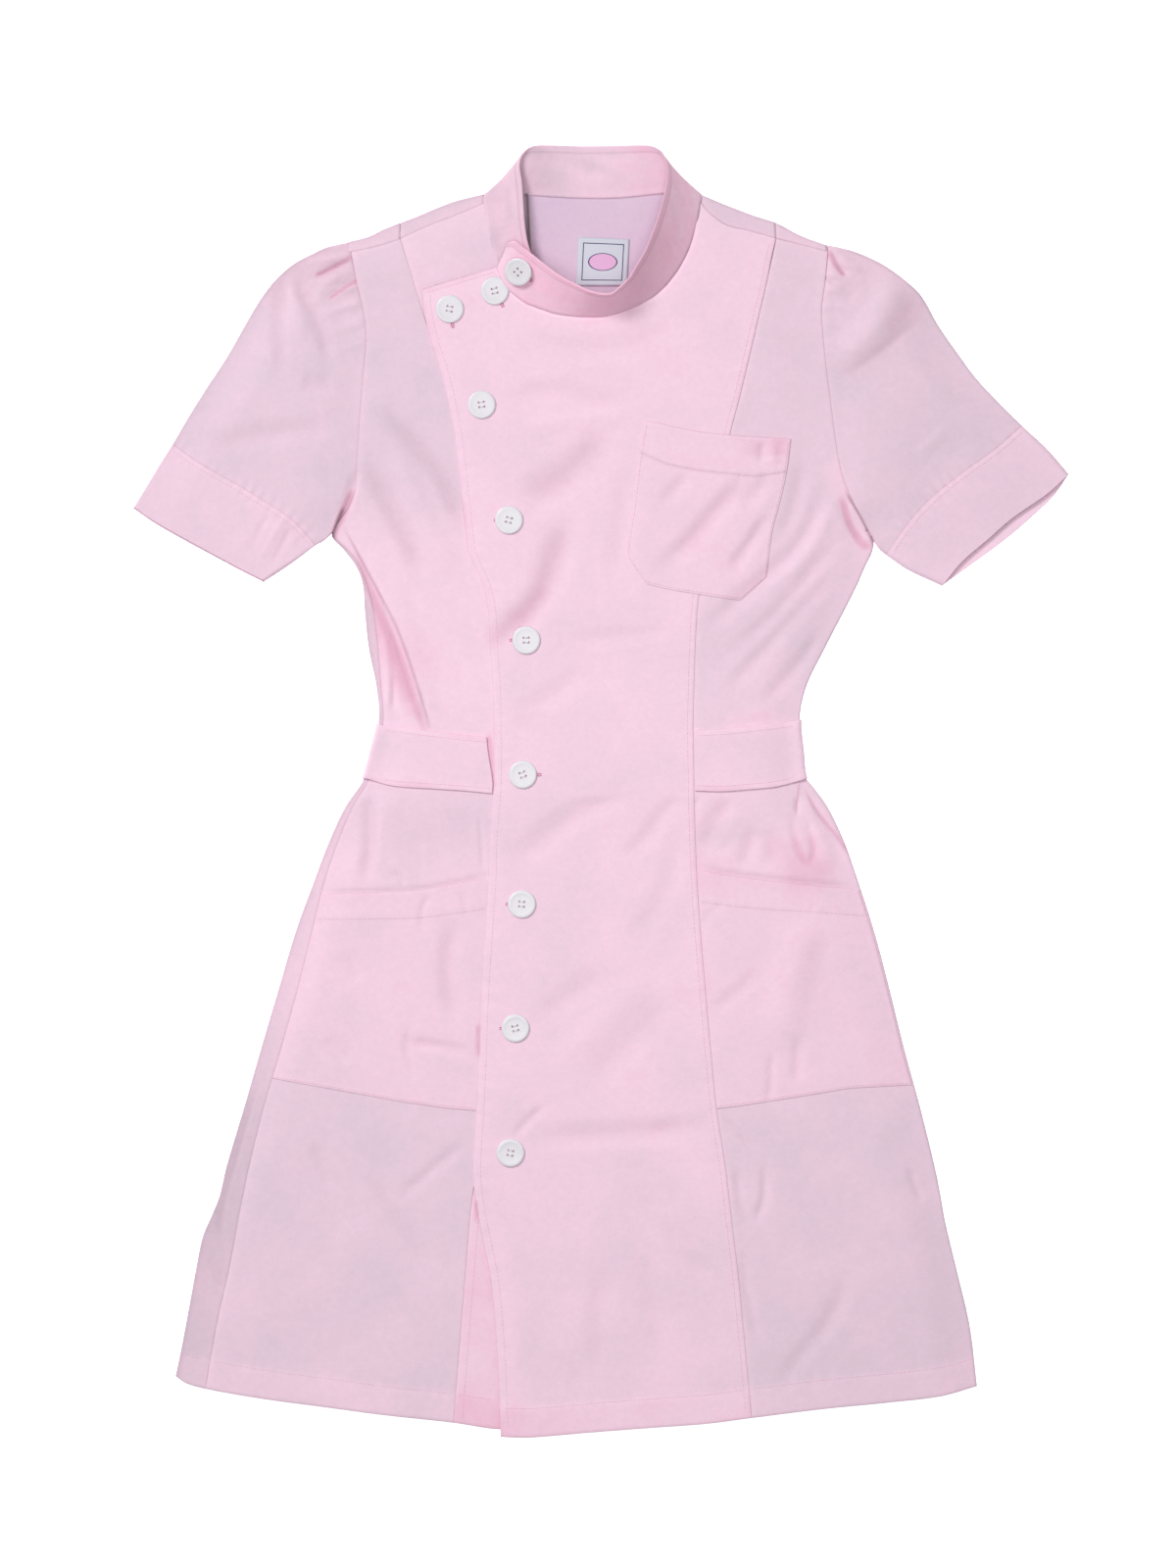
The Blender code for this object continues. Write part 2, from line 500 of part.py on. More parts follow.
def turn_travel(step, wrap, depth):
    """Travel at each of the steps from cloth's free edge to the start of the lower layer. At
    wrap 1 the cloth goes round and on to the upper layer by a depth, and at wrap 0 it stays
    flat on the lower one."""
    if wrap < 1:
        edge = QUARTER_TURN * (2 * wrap - 1)
        return between(edge, -QUARTER_TURN - FLAT_RUN * (1 - wrap), step / TURN_STEPS)
    if step < 2:
        return QUARTER_TURN + depth * (2 - step) / 2
    return QUARTER_TURN * (4 - step) / 2


def side_wrap(y):
    """How far round the outline the cloth of a side goes at a height."""
    return min(max((PIT - y) / PIT_RUN, 0.0), 1.0)


def side_edge(name, inward, y):
    """The outline, moved out above the armpit so that flat cloth reaches the armhole."""
    spread = (ROLL_RADIUS + CLOTH / 2 - HALF_GAP) * min(max((y - PIT) / PIT_SPREAD, 0.0), 1.0)
    return Vector((edge_x(name, y) - inward * spread, y))


def lifted_turn(edge, inward, travel, height):
    """As around_edge, where the upper layer follows the height of the front."""
    lift = belt_lift(edge.y)
    place = around_edge(edge, Vector((inward, 0)), travel, LOW + lift, HIGH + lift)
    if travel > QUARTER_TURN:
        place.z = height(place.x, place.y)
    return place


# ---------------------------------------------------------------- making meshes

def start_scene():
    for item in list(bpy.data.objects):
        bpy.data.objects.remove(item, do_unlink=True)
    collection = bpy.data.collections.new("nurse_uniform_dress")
    bpy.context.scene.collection.children.link(collection)
    return collection


def make_material(name, colour, roughness):
    material = bpy.data.materials.new(name)
    material.use_nodes = True
    shader = material.node_tree.nodes["Principled BSDF"]
    shader.inputs["Base Color"].default_value = (*colour, 1.0)
    shader.inputs["Roughness"].default_value = roughness
    shader.inputs["Metallic"].default_value = 0.0
    return material


COLLECTION = start_scene()
TWILL = make_material("twill", COLOURS["twill"], 0.9)
PLASTIC = make_material("button_plastic", COLOURS["button"], 0.3)
LABEL_WEAVE = make_material("label_weave", COLOURS["label"], 0.8)


def keep(item, name, material):
    """Name an object and move it to the dress's collection."""
    item.name = name
    item.data.name = name
    item.data.materials.clear()
    item.data.materials.append(material)
    for owner in list(item.users_collection):
        owner.objects.unlink(item)
    COLLECTION.objects.link(item)
    return item


def add_wall(item, thickness):
    wall = item.modifiers.new("wall", "SOLIDIFY")
    wall.thickness = thickness * MM
    wall.offset = 0.0
    wall.use_even_offset = True
    wall.use_quality_normals = True


def cloth_panel(name, columns, rows, place, thickness=CLOTH, material=TWILL):
    """A grid whose points are placed by column and row, with a wall on both sides of it."""
    bpy.ops.mesh.primitive_grid_add(x_subdivisions=columns, y_subdivisions=rows, size=1.0)
    panel = bpy.context.object
    for vertex in panel.data.vertices:
        column = round((vertex.co.x + 0.5) * columns)
        row = round((vertex.co.y + 0.5) * rows)
        vertex.co = Vector(place(column, row)) * MM
    add_wall(panel, thickness)
    return keep(panel, name, material)


def cloth_tube(name, around, rows, place, thickness=CLOTH, material=TWILL):
    """As a panel, with its last column closed onto its first."""
    def closed_place(column, row):
        return place(column % around, row)

    tube = cloth_panel(name, around, rows, closed_place, thickness, material)
    mesh = bmesh.new()
    mesh.from_mesh(tube.data)
    bmesh.ops.remove_doubles(mesh, verts=mesh.verts, dist=WELD * MM)
    mesh.to_mesh(tube.data)
    mesh.free()
    return tube


def blend_patch(left, right, bottom, top, corners, across, up):
    """Place in a patch with four curved sides, from the points of its sides at both shares."""
    low_left, low_right, high_right, high_left = corners
    sides = between(left, right, across) + between(bottom, top, up)
    return sides - between(between(low_left, low_right, across), between(high_left, high_right, across), up)


# ---------------------------------------------------------------- front of the body

MIDDLE_ROWS = (372, 353, 334, 314, 295, 275, 256, 237, 219, 204, 192, 184, 169, 161, 146, 128, 108, 90, 72,
               52, 28, 8, -3, -18, -38, -64, -96, -135, -175, -215, -250, -284, -310, -338, -368, -399,
               -430)
SIDE_ROWS = tuple(sorted(MIDDLE_ROWS + (181, 178, 174, -12), reverse=True))
SIDE_EASED_ABOVE = 165.0
SIDE_LEFT_CELLS = 8
UNDERLAP_STEPS_AT_TOP = SHOULDER_STEPS_LEFT[1:3]
UNDERLAP_CELLS = 3
SIDE_RIGHT_CELLS = 7
FLAP_CELLS = 11
FLAP_STEPS_AT_TOP = (71.6,) + SHOULDER_STEPS_RIGHT[:-1] + (SHOULDER_STEPS_RIGHT[-1] - HALF_GAP,)
FLAP_TOP_CELLS = len(FLAP_STEPS_AT_TOP) - 1
FLAP_TURN = 0.93        # share of the flap's height below its slanted top edge
FLAP_EVEN_FROM = 219.0  # from here up the rows of the flap slant towards that edge


def on_seam(name, y, shift):
    return Vector((edge_x(name, y) + shift, y))


def on_rows(name, y):
    """x of an edge on the straight runs between the rows."""
    index = 0
    while index < len(SIDE_ROWS) - 2 and y < SIDE_ROWS[index + 1]:
        index += 1
    above, below = SIDE_ROWS[index], SIDE_ROWS[index + 1]
    return between(edge_x(name, above), edge_x(name, below), (above - y) / (above - below))


def under_shoulder(points, x):
    """Place on the front's side of a shoulder seam."""
    return Vector((x, value_at(points, x) - HALF_GAP))


def side_front_left(column, row):
    share = column / SIDE_LEFT_CELLS
    if row == 0:
        left_x = on_rows("side_left", SHOULDER_SEAM_LEFT[0][1]) + HALF_GAP
        flat = under_shoulder(SHOULDER_SEAM_LEFT, between(left_x, SHOULDER_STEPS_LEFT[0] - HALF_GAP, share))
    else:
        y = SIDE_ROWS[row - 1]
        ease = ARMPIT_EASE * (0 < side_wrap(y) and y > SIDE_EASED_ABOVE)
        left = on_seam("seam_left", y, HALF_GAP + ease)
        flat = between(left, on_seam("princess_left", y, -HALF_GAP), share)
    place = body_point(flat.x, flat.y)
    return Vector((place.x, place.y, front_height(place.x, place.y)))


def front_underlap(column, row):
    if row == 0:
        steps = (SHOULDER_STEPS_LEFT[0] + HALF_GAP,) + UNDERLAP_STEPS_AT_TOP + (SHOULDER_SEAM_LEFT[-1][0],)
        flat = under_shoulder(SHOULDER_SEAM_LEFT, steps[column])
    else:
        y = MIDDLE_ROWS[row - 1]
        left, right = on_seam("princess_left", y, HALF_GAP), on_seam("underlap_edge", y, 0.0)
        flat = between(left, right, column / UNDERLAP_CELLS)
    place = body_point(flat.x, flat.y)
    return Vector((place.x, place.y, underlap_height(place.x, place.y)))


def side_front_right(column, row):
    """From the princess seam to the outline, and below the arm round it to the underside."""
    y = SIDE_ROWS[max(row - 1, 0)]
    step = max(column - SIDE_RIGHT_CELLS, 0)
    travel = -turn_travel(TURN_STEPS - step, side_wrap(y), SIDE_TUCK)
    turn = lifted_turn(side_edge("side_right", -1, y), -1, travel, flap_height)
    share = min(column / SIDE_RIGHT_CELLS, 1.0)
    if row == 0:
        right_x = on_rows("side_right", SHOULDER_SEAM_RIGHT[-1][1]) - HALF_GAP
        turn.x = right_x - FLAT_RUN * (1 - step / TURN_STEPS)
        x = between(SHOULDER_STEPS_RIGHT[-1] + HALF_GAP, turn.x, share)
        flat = under_shoulder(SHOULDER_SEAM_RIGHT, x)
    else:
        flat = between(on_seam("princess_right", y, HALF_GAP), turn.xy, share)
    place = body_point(flat.x, flat.y)
    height = flap_height(place.x, place.y) if travel >= QUARTER_TURN - WELD else turn.z
    return Vector((place.x, place.y, height))


def flap_point(x, y):
    return Vector((x, y + row_down(y) * (value_at(FLAP_HEM, x) - HEM_LEVEL)))


def front_flap(column, row):
    """A patch that runs round the neck: its left side turns the corner on to the slanted top
    edge, and its right side the one on to the shoulder seam."""
    across = column / FLAP_CELLS
    hem_left = flap_point(FLAP_HEM[0][0], HEM_LEVEL)
    hem_right = flap_point(FLAP_HEM[-1][0] - HALF_GAP, HEM_LEVEL)
    neck_left = Vector(NECK_FRONT[0])
    neck_right = under_shoulder(SHOULDER_SEAM_RIGHT, FLAP_STEPS_AT_TOP[0])
    princess_top = under_shoulder(SHOULDER_SEAM_RIGHT, FLAP_STEPS_AT_TOP[-1])
    if row <= FLAP_TOP_CELLS:
        share = row / FLAP_TOP_CELLS
        left = between(neck_left, Vector(FLAP_CORNER), share)
        right = under_shoulder(SHOULDER_SEAM_RIGHT, FLAP_STEPS_AT_TOP[row])
        up = 1 - (1 - FLAP_TURN) * share
    else:
        y = MIDDLE_ROWS[row - FLAP_TOP_CELLS - 1]
        evened = max(0.0, (y - FLAP_EVEN_FROM) / (princess_top.y - FLAP_EVEN_FROM))
        left_y = y - evened * (princess_top.y - FLAP_CORNER[1])
        left = flap_point(edge_x("flap_edge", left_y), left_y)
        right = flap_point(edge_x("princess_right", y) - HALF_GAP, y)
        up = FLAP_TURN * (y - HEM_LEVEL) / (princess_top.y - HEM_LEVEL)
    bottom = flap_point(between(hem_left.x, hem_right.x, across), HEM_LEVEL)
    top = along(NECK_FRONT, across)
    flat = blend_patch(left, right, bottom, top, (hem_left, hem_right, neck_right, neck_left), across, up)
    return Vector((flat.x, flat.y, flap_height(flat.x, flat.y)))


# ---------------------------------------------------------------- back of the body

SIDE_BACK_CELLS = 1
BACK_ROWS = (372, 295, 184, 72, 56, -2, -18, -96, -280, -350, -430)
NECK_STEPS = (-87.0, -55.0, -20.0, 12.0, 44.0, 73.0)
UNROLL_LEFT = ((-91.0, 0.67), (-89.0, 0.33))    # x and wrap where a shoulder's turned edge ends
UNROLL_RIGHT = ((75.0, 0.33), (77.5, 0.67))
SHOULDER_INWARD_LEFT = Vector((0.33, -0.944))
SHOULDER_INWARD_RIGHT = Vector((-0.36, -0.933))


def shoulder_turn(fold_points, seam_points, inward, x, step, wrap):
    """Place on the cloth that comes over a shoulder to the seam on the front."""
    fold = Vector((x, value_at(fold_points, x)))
    travel = turn_travel(max(step, 2) if wrap >= 1 else step, wrap, 0.0)
    turn = around_edge(fold, inward, travel, LOW, HIGH)
    if wrap < 1 or step >= 2:
        return turn
    seam = Vector((x, value_at(seam_points, x) + HALF_GAP))
    flat = between(seam, turn.xy, step / 2)
    return Vector((flat.x, flat.y, front_height(flat.x, flat.y)))


def left_shoulder(x, step, wrap=1.0):
    return shoulder_turn(SHOULDER_FOLD_LEFT, SHOULDER_SEAM_LEFT, SHOULDER_INWARD_LEFT, x, step, wrap)


def right_shoulder(x, step, wrap=1.0):
    return shoulder_turn(SHOULDER_FOLD_RIGHT, SHOULDER_SEAM_RIGHT, SHOULDER_INWARD_RIGHT, x, step, wrap)


def under_hem(x, y):
    """Place in the lower layer, which is a little shorter than the front."""
    place = body_point(x, y)
    return place + Vector((0, UNDER_HEM * row_down(y)))


def side_back_left(column, row):
    """From the seam on the front round the left side, and over the shoulder at the top."""
    inner_step = max(column - TURN_STEPS, 0) / SIDE_BACK_CELLS
    if row <= TURN_STEPS:
        edge = on_rows("side_left", SHOULDER_SEAM_LEFT[0][1]) + SEAM_GAP
        x = edge + FLAT_RUN * min(column, TURN_STEPS) / TURN_STEPS
        return left_shoulder(between(x, SHOULDER_STEPS_LEFT[0] - HALF_GAP, inner_step), row)
    y = SIDE_ROWS[row - TURN_STEPS - 1]
    edge = side_edge("side_left", 1, y)
    depth = edge_x("seam_left", y) - HALF_GAP - edge.x - CLOTH / 2 - ROLL_RADIUS
    travel = turn_travel(min(column, TURN_STEPS), side_wrap(y), max(depth, 0.0))
    point = lifted_turn(edge, 1, travel, front_height)
    x = between(point.x, back_seam_x(-1, y) - HALF_GAP, inner_step)
    place = body_point(x, y) if travel > -QUARTER_TURN / 2 else under_hem(x, y)
    return Vector((place.x, place.y, point.z))


def side_back_right(column, row):
    share = column / SIDE_BACK_CELLS
    if row <= TURN_STEPS:
        outer = on_rows("side_right", SHOULDER_SEAM_RIGHT[-1][1]) - SEAM_GAP
        return right_shoulder(between(SHOULDER_STEPS_RIGHT[-1] + HALF_GAP, outer, share), row)
    y = SIDE_ROWS[row - TURN_STEPS - 1]
    wrap = side_wrap(y)
    inset = HALF_GAP + 3.0 * wrap
    if wrap >= 1:
        inset = CLOTH / 2 + ROLL_RADIUS + SIDE_TUCK + 3 * SEAM_GAP
    x = between(back_seam_x(1, y) + HALF_GAP, edge_x("side_right", y) - inset, share)
    place = under_hem(x, y)
    return Vector((place.x, place.y, back_height(y)))


def centre_columns():
    """x and side of each column of the centre back at its top: -1 and 1 go over a shoulder with
    a wrap, 0 starts at the neck."""
    left = [(x, -1, 1.0) for x in SHOULDER_STEPS_LEFT] + [(x, -1, wrap) for x, wrap in UNROLL_LEFT]
    right = [(x, 1, wrap) for x, wrap in UNROLL_RIGHT] + [(x, 1, 1.0) for x in SHOULDER_STEPS_RIGHT]
    left[0] = (SHOULDER_STEPS_LEFT[0] + HALF_GAP, -1, 1.0)
    right[-1] = (SHOULDER_STEPS_RIGHT[-1] - HALF_GAP, 1, 1.0)
    return left + [(x, 0, 0.0) for x in NECK_STEPS] + right


CENTRE_COLUMNS = centre_columns()


def back_center(column, row):
    x, side, wrap = CENTRE_COLUMNS[column]
    if row <= TURN_STEPS:
        if side < 0:
            return left_shoulder(x, row, wrap)
        if side > 0:
            return right_shoulder(x, row, wrap)
        return Vector((x, value_at(NECK_BACK, x) - HALF_GAP - FLAT_RUN * row / TURN_STEPS, LOW))
    y = BACK_ROWS[row - TURN_STEPS - 1]
    share = (x - CENTRE_COLUMNS[0][0]) / (CENTRE_COLUMNS[-1][0] - CENTRE_COLUMNS[0][0])
    place = under_hem(between(back_seam_x(-1, y) + HALF_GAP, back_seam_x(1, y) - HALF_GAP, share), y)
    return Vector((place.x, place.y, back_height(y)))


def make_body():
    cloth_panel("back_center", len(CENTRE_COLUMNS) - 1, TURN_STEPS + len(BACK_ROWS), back_center)
    cloth_panel("side_back_left", TURN_STEPS + SIDE_BACK_CELLS, TURN_STEPS + len(SIDE_ROWS), side_back_left)
    cloth_panel("side_back_right", SIDE_BACK_CELLS, TURN_STEPS + len(SIDE_ROWS), side_back_right)
    cloth_panel("side_front_left", SIDE_LEFT_CELLS, len(SIDE_ROWS), side_front_left)
    cloth_panel("side_front_right", SIDE_RIGHT_CELLS + TURN_STEPS, len(SIDE_ROWS), side_front_right)
    cloth_panel("front_underlap", UNDERLAP_CELLS, len(MIDDLE_ROWS), front_underlap)
    cloth_panel("front_flap", FLAP_CELLS, FLAP_TOP_CELLS + len(MIDDLE_ROWS), front_flap)


# ---------------------------------------------------------------- sleeves

SLEEVE_ROWS = 6
BAND_ROWS = 1
TUBE_TURN = (45.0, 0.0, -45.0)    # between the layers, degrees


def tube_ring(cells):
    """Step across a flattened tube and angle of its wall, from the upper outline along the
    front layer, round the lower outline and back along the layer below."""
    ring = [(step, 90.0) for step in range(cells + 1)] + [(cells, angle) for angle in TUBE_TURN]
    ring += [(step, -90.0) for step in range(cells, -1, -1)] + [(0, -angle) for angle in TUBE_TURN]
    return ring


def tube_point(lines, share, down, angle, wall):
    """Flat place and turned height on a tube between its upper and lower lines."""
    upper, lower, start, end = lines
    corners = (end(0.0), end(1.0), start(1.0), start(0.0))
    high_side, low_side = upper(down), lower(down)
    flat = blend_patch(high_side, low_side, end(share), start(share), corners, share, 1 - down)
    radius = ROLL_RADIUS
    inset = radius * (1 - math.cos(math.radians(angle))) + wall / 2
    flat += (low_side - high_side).normalized() * inset * (1 - 2 * share)
    return flat, wall / 2 + radius * (1 + math.sin(math.radians(angle)))


def make_sleeve(name, sleeve):
    heights = sleeve["armhole_y"]
    cells = len(heights) - 1
    ring = tube_ring(cells)
    out = -1 if sleeve["side"] == "side_left" else 1
    armhole = [Vector((on_rows(sleeve["side"], y) + out * HALF_GAP, y)) for y in heights]
    armhole[-1].x += out * ARMPIT_EASE
    shares = [(heights[0] - y) / (heights[0] - heights[-1]) for y in heights]
    upper_line = (tuple(armhole[0]),) + sleeve["upper"]
    lower_line = (tuple(armhole[-1]),) + sleeve["lower"]
    lines = (lambda share: along(upper_line, share), lambda share: along(lower_line, share),
             lambda share: armhole[shares.index(share)], lambda share: along(sleeve["band_seam"], share))

    def place(number, row):
        step, angle = ring[number]
        down = row / SLEEVE_ROWS
        flat, height = tube_point(lines, shares[step], down, angle, CLOTH)
        if angle == 90.0:
            height = front_height(flat.x, flat.y)
            gathered = step % 2 == 1 and step < GATHERED
            height += GATHER_HEIGHT * gathered * smooth_step(1 - down / GATHER_REACH)
            puff = smooth_step(down / 0.3) * smooth_step((1 - down) / 0.6)
            puff *= smooth_step(shares[step] / 0.25) * smooth_step((1 - shares[step]) / 0.5)
            height += PUFF_HEIGHT * puff
        return Vector((flat.x, flat.y, height))

    cloth_tube(name, len(ring), SLEEVE_ROWS, place)
    return shares


def make_cuff(name, sleeve, shares):
    """The band starts a gap away from the sleeve's end."""
    ring = tube_ring(len(shares) - 1)

    def side(name):
        return lambda share: along(sleeve[name], share)

    def place(number, row):
        step, angle = ring[number]
        edge = side("band_edge" if angle > 0 else "band_edge_below")
        lines = (side("band_upper"), side("band_lower"), side("band_seam"), edge)
        down = between(0.012, 1.0, row / BAND_ROWS)
        flat, height = tube_point(lines, shares[step], down, angle, CUFF_WALL)
        if angle == 90.0:
            height = front_height(flat.x, flat.y) + (CUFF_WALL - CLOTH)
        return Vector((flat.x, flat.y, height))

    cloth_tube(name, len(ring), BAND_ROWS, place, CUFF_WALL)


def make_sleeves():
    for side, sleeve in (("left", SLEEVE_LEFT), ("right", SLEEVE_RIGHT)):
        shares = make_sleeve("sleeve_" + side, sleeve)
        make_cuff("cuff_" + side, sleeve, shares)


# ---------------------------------------------------------------- collar and label

COLLAR_CELLS = 2        # across the band


def collar_station(index):
    """Both edges of the collar's band at one of its stations."""
    seam_x, seam_y, lies_on, seam_z, edge_x_, edge_y, edge_z = COLLAR_SECTIONS[index]
    ground = {"front": underlap_height, "flap": flap_height, "floor": lambda x, y: 0.0}[lies_on]
    seam = Vector((seam_x, seam_y, ground(seam_x, seam_y) + seam_z))
    edge = Vector((edge_x_, edge_y, edge_z))
    inward = Vector((edge.x - seam.x, edge.y - seam.y, 0.0)).normalized()
    return seam + inward * COLLAR_SETBACK, edge


def collar(column, row):
    seam, edge = collar_station(column)
    return between(seam, edge, row / COLLAR_CELLS)


def neck_label(column, row):
    low_left, low_right, high_right, high_left = (Vector(corner) for corner in LABEL_CORNERS)
    low, high = between(low_left, low_right, column / 2), between(high_left, high_right, column / 2)
    flat = between(low, high, row / 2)
    return Vector((flat.x, flat.y, CLOTH + SEAM_GAP + LABEL_WALL / 2))


def make_neck():
    cloth_panel("collar", len(COLLAR_SECTIONS) - 1, COLLAR_CELLS, collar, COLLAR_WALL)
    cloth_panel("neck_label", 2, 2, neck_label, LABEL_WALL, LABEL_WEAVE)


# ---------------------------------------------------------------- pockets

POCKET_CELLS = 7
BREAST_CELLS = 10


def straight_along(points, share):
    """As along, with straight runs between the points."""
    lengths = [math.dist(start, end) for start, end in zip(points, points[1:])]
    goal = share * sum(lengths)
    for start, end, length in zip(points, points[1:], lengths):
        if goal <= length + WELD:
            return between(Vector(start), Vector(end), goal / length)
        goal -= length
    return Vector(points[-1])


def hip_pocket(top, bottom, left, right, height):
    """A patch whose sides run along two (edge name, shift) lines."""
    def side(line, from_y, to_y, share):
        y = between(from_y, to_y, share)
        return Vector((edge_x(line[0], y) + line[1], y))

    def place(column, row):
        across, up = column / POCKET_CELLS, row / POCKET_CELLS
        corners = (side(left, bottom[0][1], 0, 0.0), side(right, bottom[-1][1], 0, 0.0),
                   side(right, top[-1][1], 0, 0.0), side(left, top[0][1], 0, 0.0))
        flat = blend_patch(side(left, bottom[0][1], top[0][1], up),
                           side(right, bottom[-1][1], top[-1][1], up),
                           line_between(bottom, corners[0], corners[1], across),
                           line_between(top, corners[3], corners[2], across), corners, across, up)
        return Vector((flat.x, flat.y, height(flat.x, flat.y) + OVER_LAYER))

    return place


def line_between(points, start, end, share):
    """A line's middle points with its ends moved to given corners."""
    return straight_along((tuple(start),) + points[1:-1] + (tuple(end),), share)


def breast_pocket(column, row):
    across, up = column / BREAST_CELLS, row / BREAST_CELLS
    corners = [Vector(corner) for corner in (BREAST_POCKET_LEFT[-1], BREAST_POCKET_RIGHT[-1],
                                             BREAST_POCKET_RIGHT[0], BREAST_POCKET_LEFT[0])]
    flat = blend_patch(along(BREAST_POCKET_LEFT, 1 - up), along(BREAST_POCKET_RIGHT, 1 - up),
                       straight_along(BREAST_POCKET_BOTTOM, across), along(BREAST_POCKET_TOP, across),
                       corners, across, up)
    return Vector((flat.x, flat.y, flap_height(flat.x, flat.y) + OVER_LAYER))


def make_pockets():
    left = hip_pocket(HIP_POCKET_TOP_LEFT, HIP_POCKET_BOTTOM_LEFT, ("seam_left", SEAM_GAP),
                      ("flap_edge", -2 * SEAM_GAP), front_height)
    right = hip_pocket(HIP_POCKET_TOP_RIGHT, HIP_POCKET_BOTTOM_RIGHT, ("princess_right", SEAM_GAP),
                       ("side_right", -2.0), flap_height)
    cloth_panel("hip_pocket_left", POCKET_CELLS, POCKET_CELLS, left)
    cloth_panel("hip_pocket_right", POCKET_CELLS, POCKET_CELLS, right)
    cloth_panel("breast_pocket", BREAST_CELLS, BREAST_CELLS, breast_pocket)


# ---------------------------------------------------------------- belt

BELT_ROWS = 2
BELT_FRONT_CELLS = 8
BELT_BACK_CELLS = 8
BELT_HIGH = HIGH + LAYER + OVER_LAYER


def belt_stations():
    """Run, share of the run and angle of the turn, from the left end round the back."""
    stations = [("front_left", step / BELT_FRONT_CELLS, 90.0) for step in range(BELT_FRONT_CELLS + 1)]
    stations += [("left", 1.0, angle) for angle in TUBE_TURN]
    stations += [("back", step / BELT_BACK_CELLS, -90.0) for step in range(BELT_BACK_CELLS + 1)]
    stations += [("right", 1.0, -angle) for angle in TUBE_TURN]
    stations += [("front_right", 1 - step / BELT_FRONT_CELLS, 90.0) for step in range(BELT_FRONT_CELLS + 1)]
    return stations


BELT_STATIONS = belt_stations()


def belt_y(table, x, row):
    low = value_at(tuple((knot[0], knot[1]) for knot in table), x)
    high = value_at(tuple((knot[0], knot[2]) for knot in table), x)
    return between(low, high, row / BELT_ROWS)


def belt(column, row):
    run, share, angle = BELT_STATIONS[column]
    radius = (BELT_HIGH - LOW) / 2
    left_y = belt_y(BELT_BACK, BELT_BACK[0][0], row)
    right_y = belt_y(BELT_BACK, BELT_BACK[-1][0], row)
    inset = radius * (1 - math.cos(math.radians(angle))) + CLOTH / 2 - LAYER
    left_x = on_rows("side_left", left_y) + inset
    right_x = on_rows("side_right", right_y) - inset
    height = LOW + radius * (1 + math.sin(math.radians(angle)))
    if run == "left":
        return Vector((left_x, left_y, height))
    if run == "right":
        return Vector((right_x, right_y, height))
    if run == "back":
        x = between(left_x, right_x, share)
        return Vector((x, belt_y(BELT_BACK, x, row), height))
    if run == "front_left":
        end_x = edge_x("flap_edge", belt_y(BELT_FRONT_LEFT, BELT_FRONT_LEFT[0][0], row)) - 2 * SEAM_GAP
        x = between(end_x, left_x, share)
        y = belt_y(BELT_FRONT_LEFT, x, row)
        return Vector((x, y, front_height(x, y) + OVER_LAYER))
    end_x = edge_x("princess_right", belt_y(BELT_FRONT_RIGHT, BELT_FRONT_RIGHT[-1][0], row)) + 2 * SEAM_GAP
    x = between(end_x, right_x, share)
    y = belt_y(BELT_FRONT_RIGHT, x, row)
    return Vector((x, y, flap_height(x, y) + OVER_LAYER))


# ---------------------------------------------------------------- buttons

def button_blank():
    """A lathed button about the origin, underside at z 0."""
    mesh = bmesh.new()
    rings = []
    for radius, height in BUTTON_PROFILE:
        ring = []
        for number in range(BUTTON_SEGMENTS):
            angle = 2 * math.pi * number / BUTTON_SEGMENTS
            place = Vector((radius * math.cos(angle), radius * math.sin(angle), height))
            ring.append(mesh.verts.new(place * MM))
        rings.append(ring)
    for lower, upper in zip(rings, rings[1:]):
        for number in range(BUTTON_SEGMENTS):
            following = (number + 1) % BUTTON_SEGMENTS
            mesh.faces.new((lower[number], lower[following], upper[following], upper[number]))
    mesh.faces.new(rings[0][::-1])
    mesh.faces.new(rings[-1])
    data = bpy.data.meshes.new("button")
    mesh.to_mesh(data)
    mesh.free()
    button = bpy.data.objects.new("button", data)
    bpy.context.scene.collection.objects.link(button)
    return button


def drill(button):
    """Cut the four holes."""
    top = BUTTON_PROFILE[-1][1]
    for side_x, side_y in ((-1, -1), (1, -1), (1, 1), (-1, 1)):
        place = Vector((side_x * BUTTON_HOLE_PLACE, side_y * BUTTON_HOLE_PLACE, top / 2)) * MM
        bpy.ops.mesh.primitive_cylinder_add(vertices=6, radius=BUTTON_HOLE_RADIUS * MM, depth=3 * top * MM,
                                            location=place)
        cutter = bpy.context.object
        cut = button.modifiers.new("hole", "BOOLEAN")
        cut.operation = "DIFFERENCE"
        cut.solver = "EXACT"
        cut.object = cutter
        bpy.context.view_layer.objects.active = button
        bpy.ops.object.modifier_apply(modifier=cut.name)
        bpy.data.objects.remove(cutter, do_unlink=True)


def collar_surface(x, y):
    """Place and normal on the top of the collar's front run, above a point."""
    best = None
    for index in range(COLLAR_CLOSING_FROM, len(COLLAR_SECTIONS) - 1):
        for share in range(21):
            ends = zip(collar_station(index), collar_station(index + 1))
            seam, edge = (between(here, there, 0.5) for here, there in ends)
            place = between(seam, edge, share / 20)
            distance = math.hypot(place.x - x, place.y - y)
            if best is None or distance < best[0]:
                rise = edge - seam
                run = collar_station(index + 1)[0] - collar_station(index)[0]
                normal = rise.cross(run).normalized()
                best = (distance, place, normal if normal.z > 0 else -normal)
    return best[1], best[2]


def cloth_top(tree, x, y):
    """Height of the top of a panel under a place, in millimetres."""
    hit = tree.ray_cast(Vector((x * MM, y * MM, 1.0)), Vector((0, 0, -1)))[0]
    return hit.z / MM


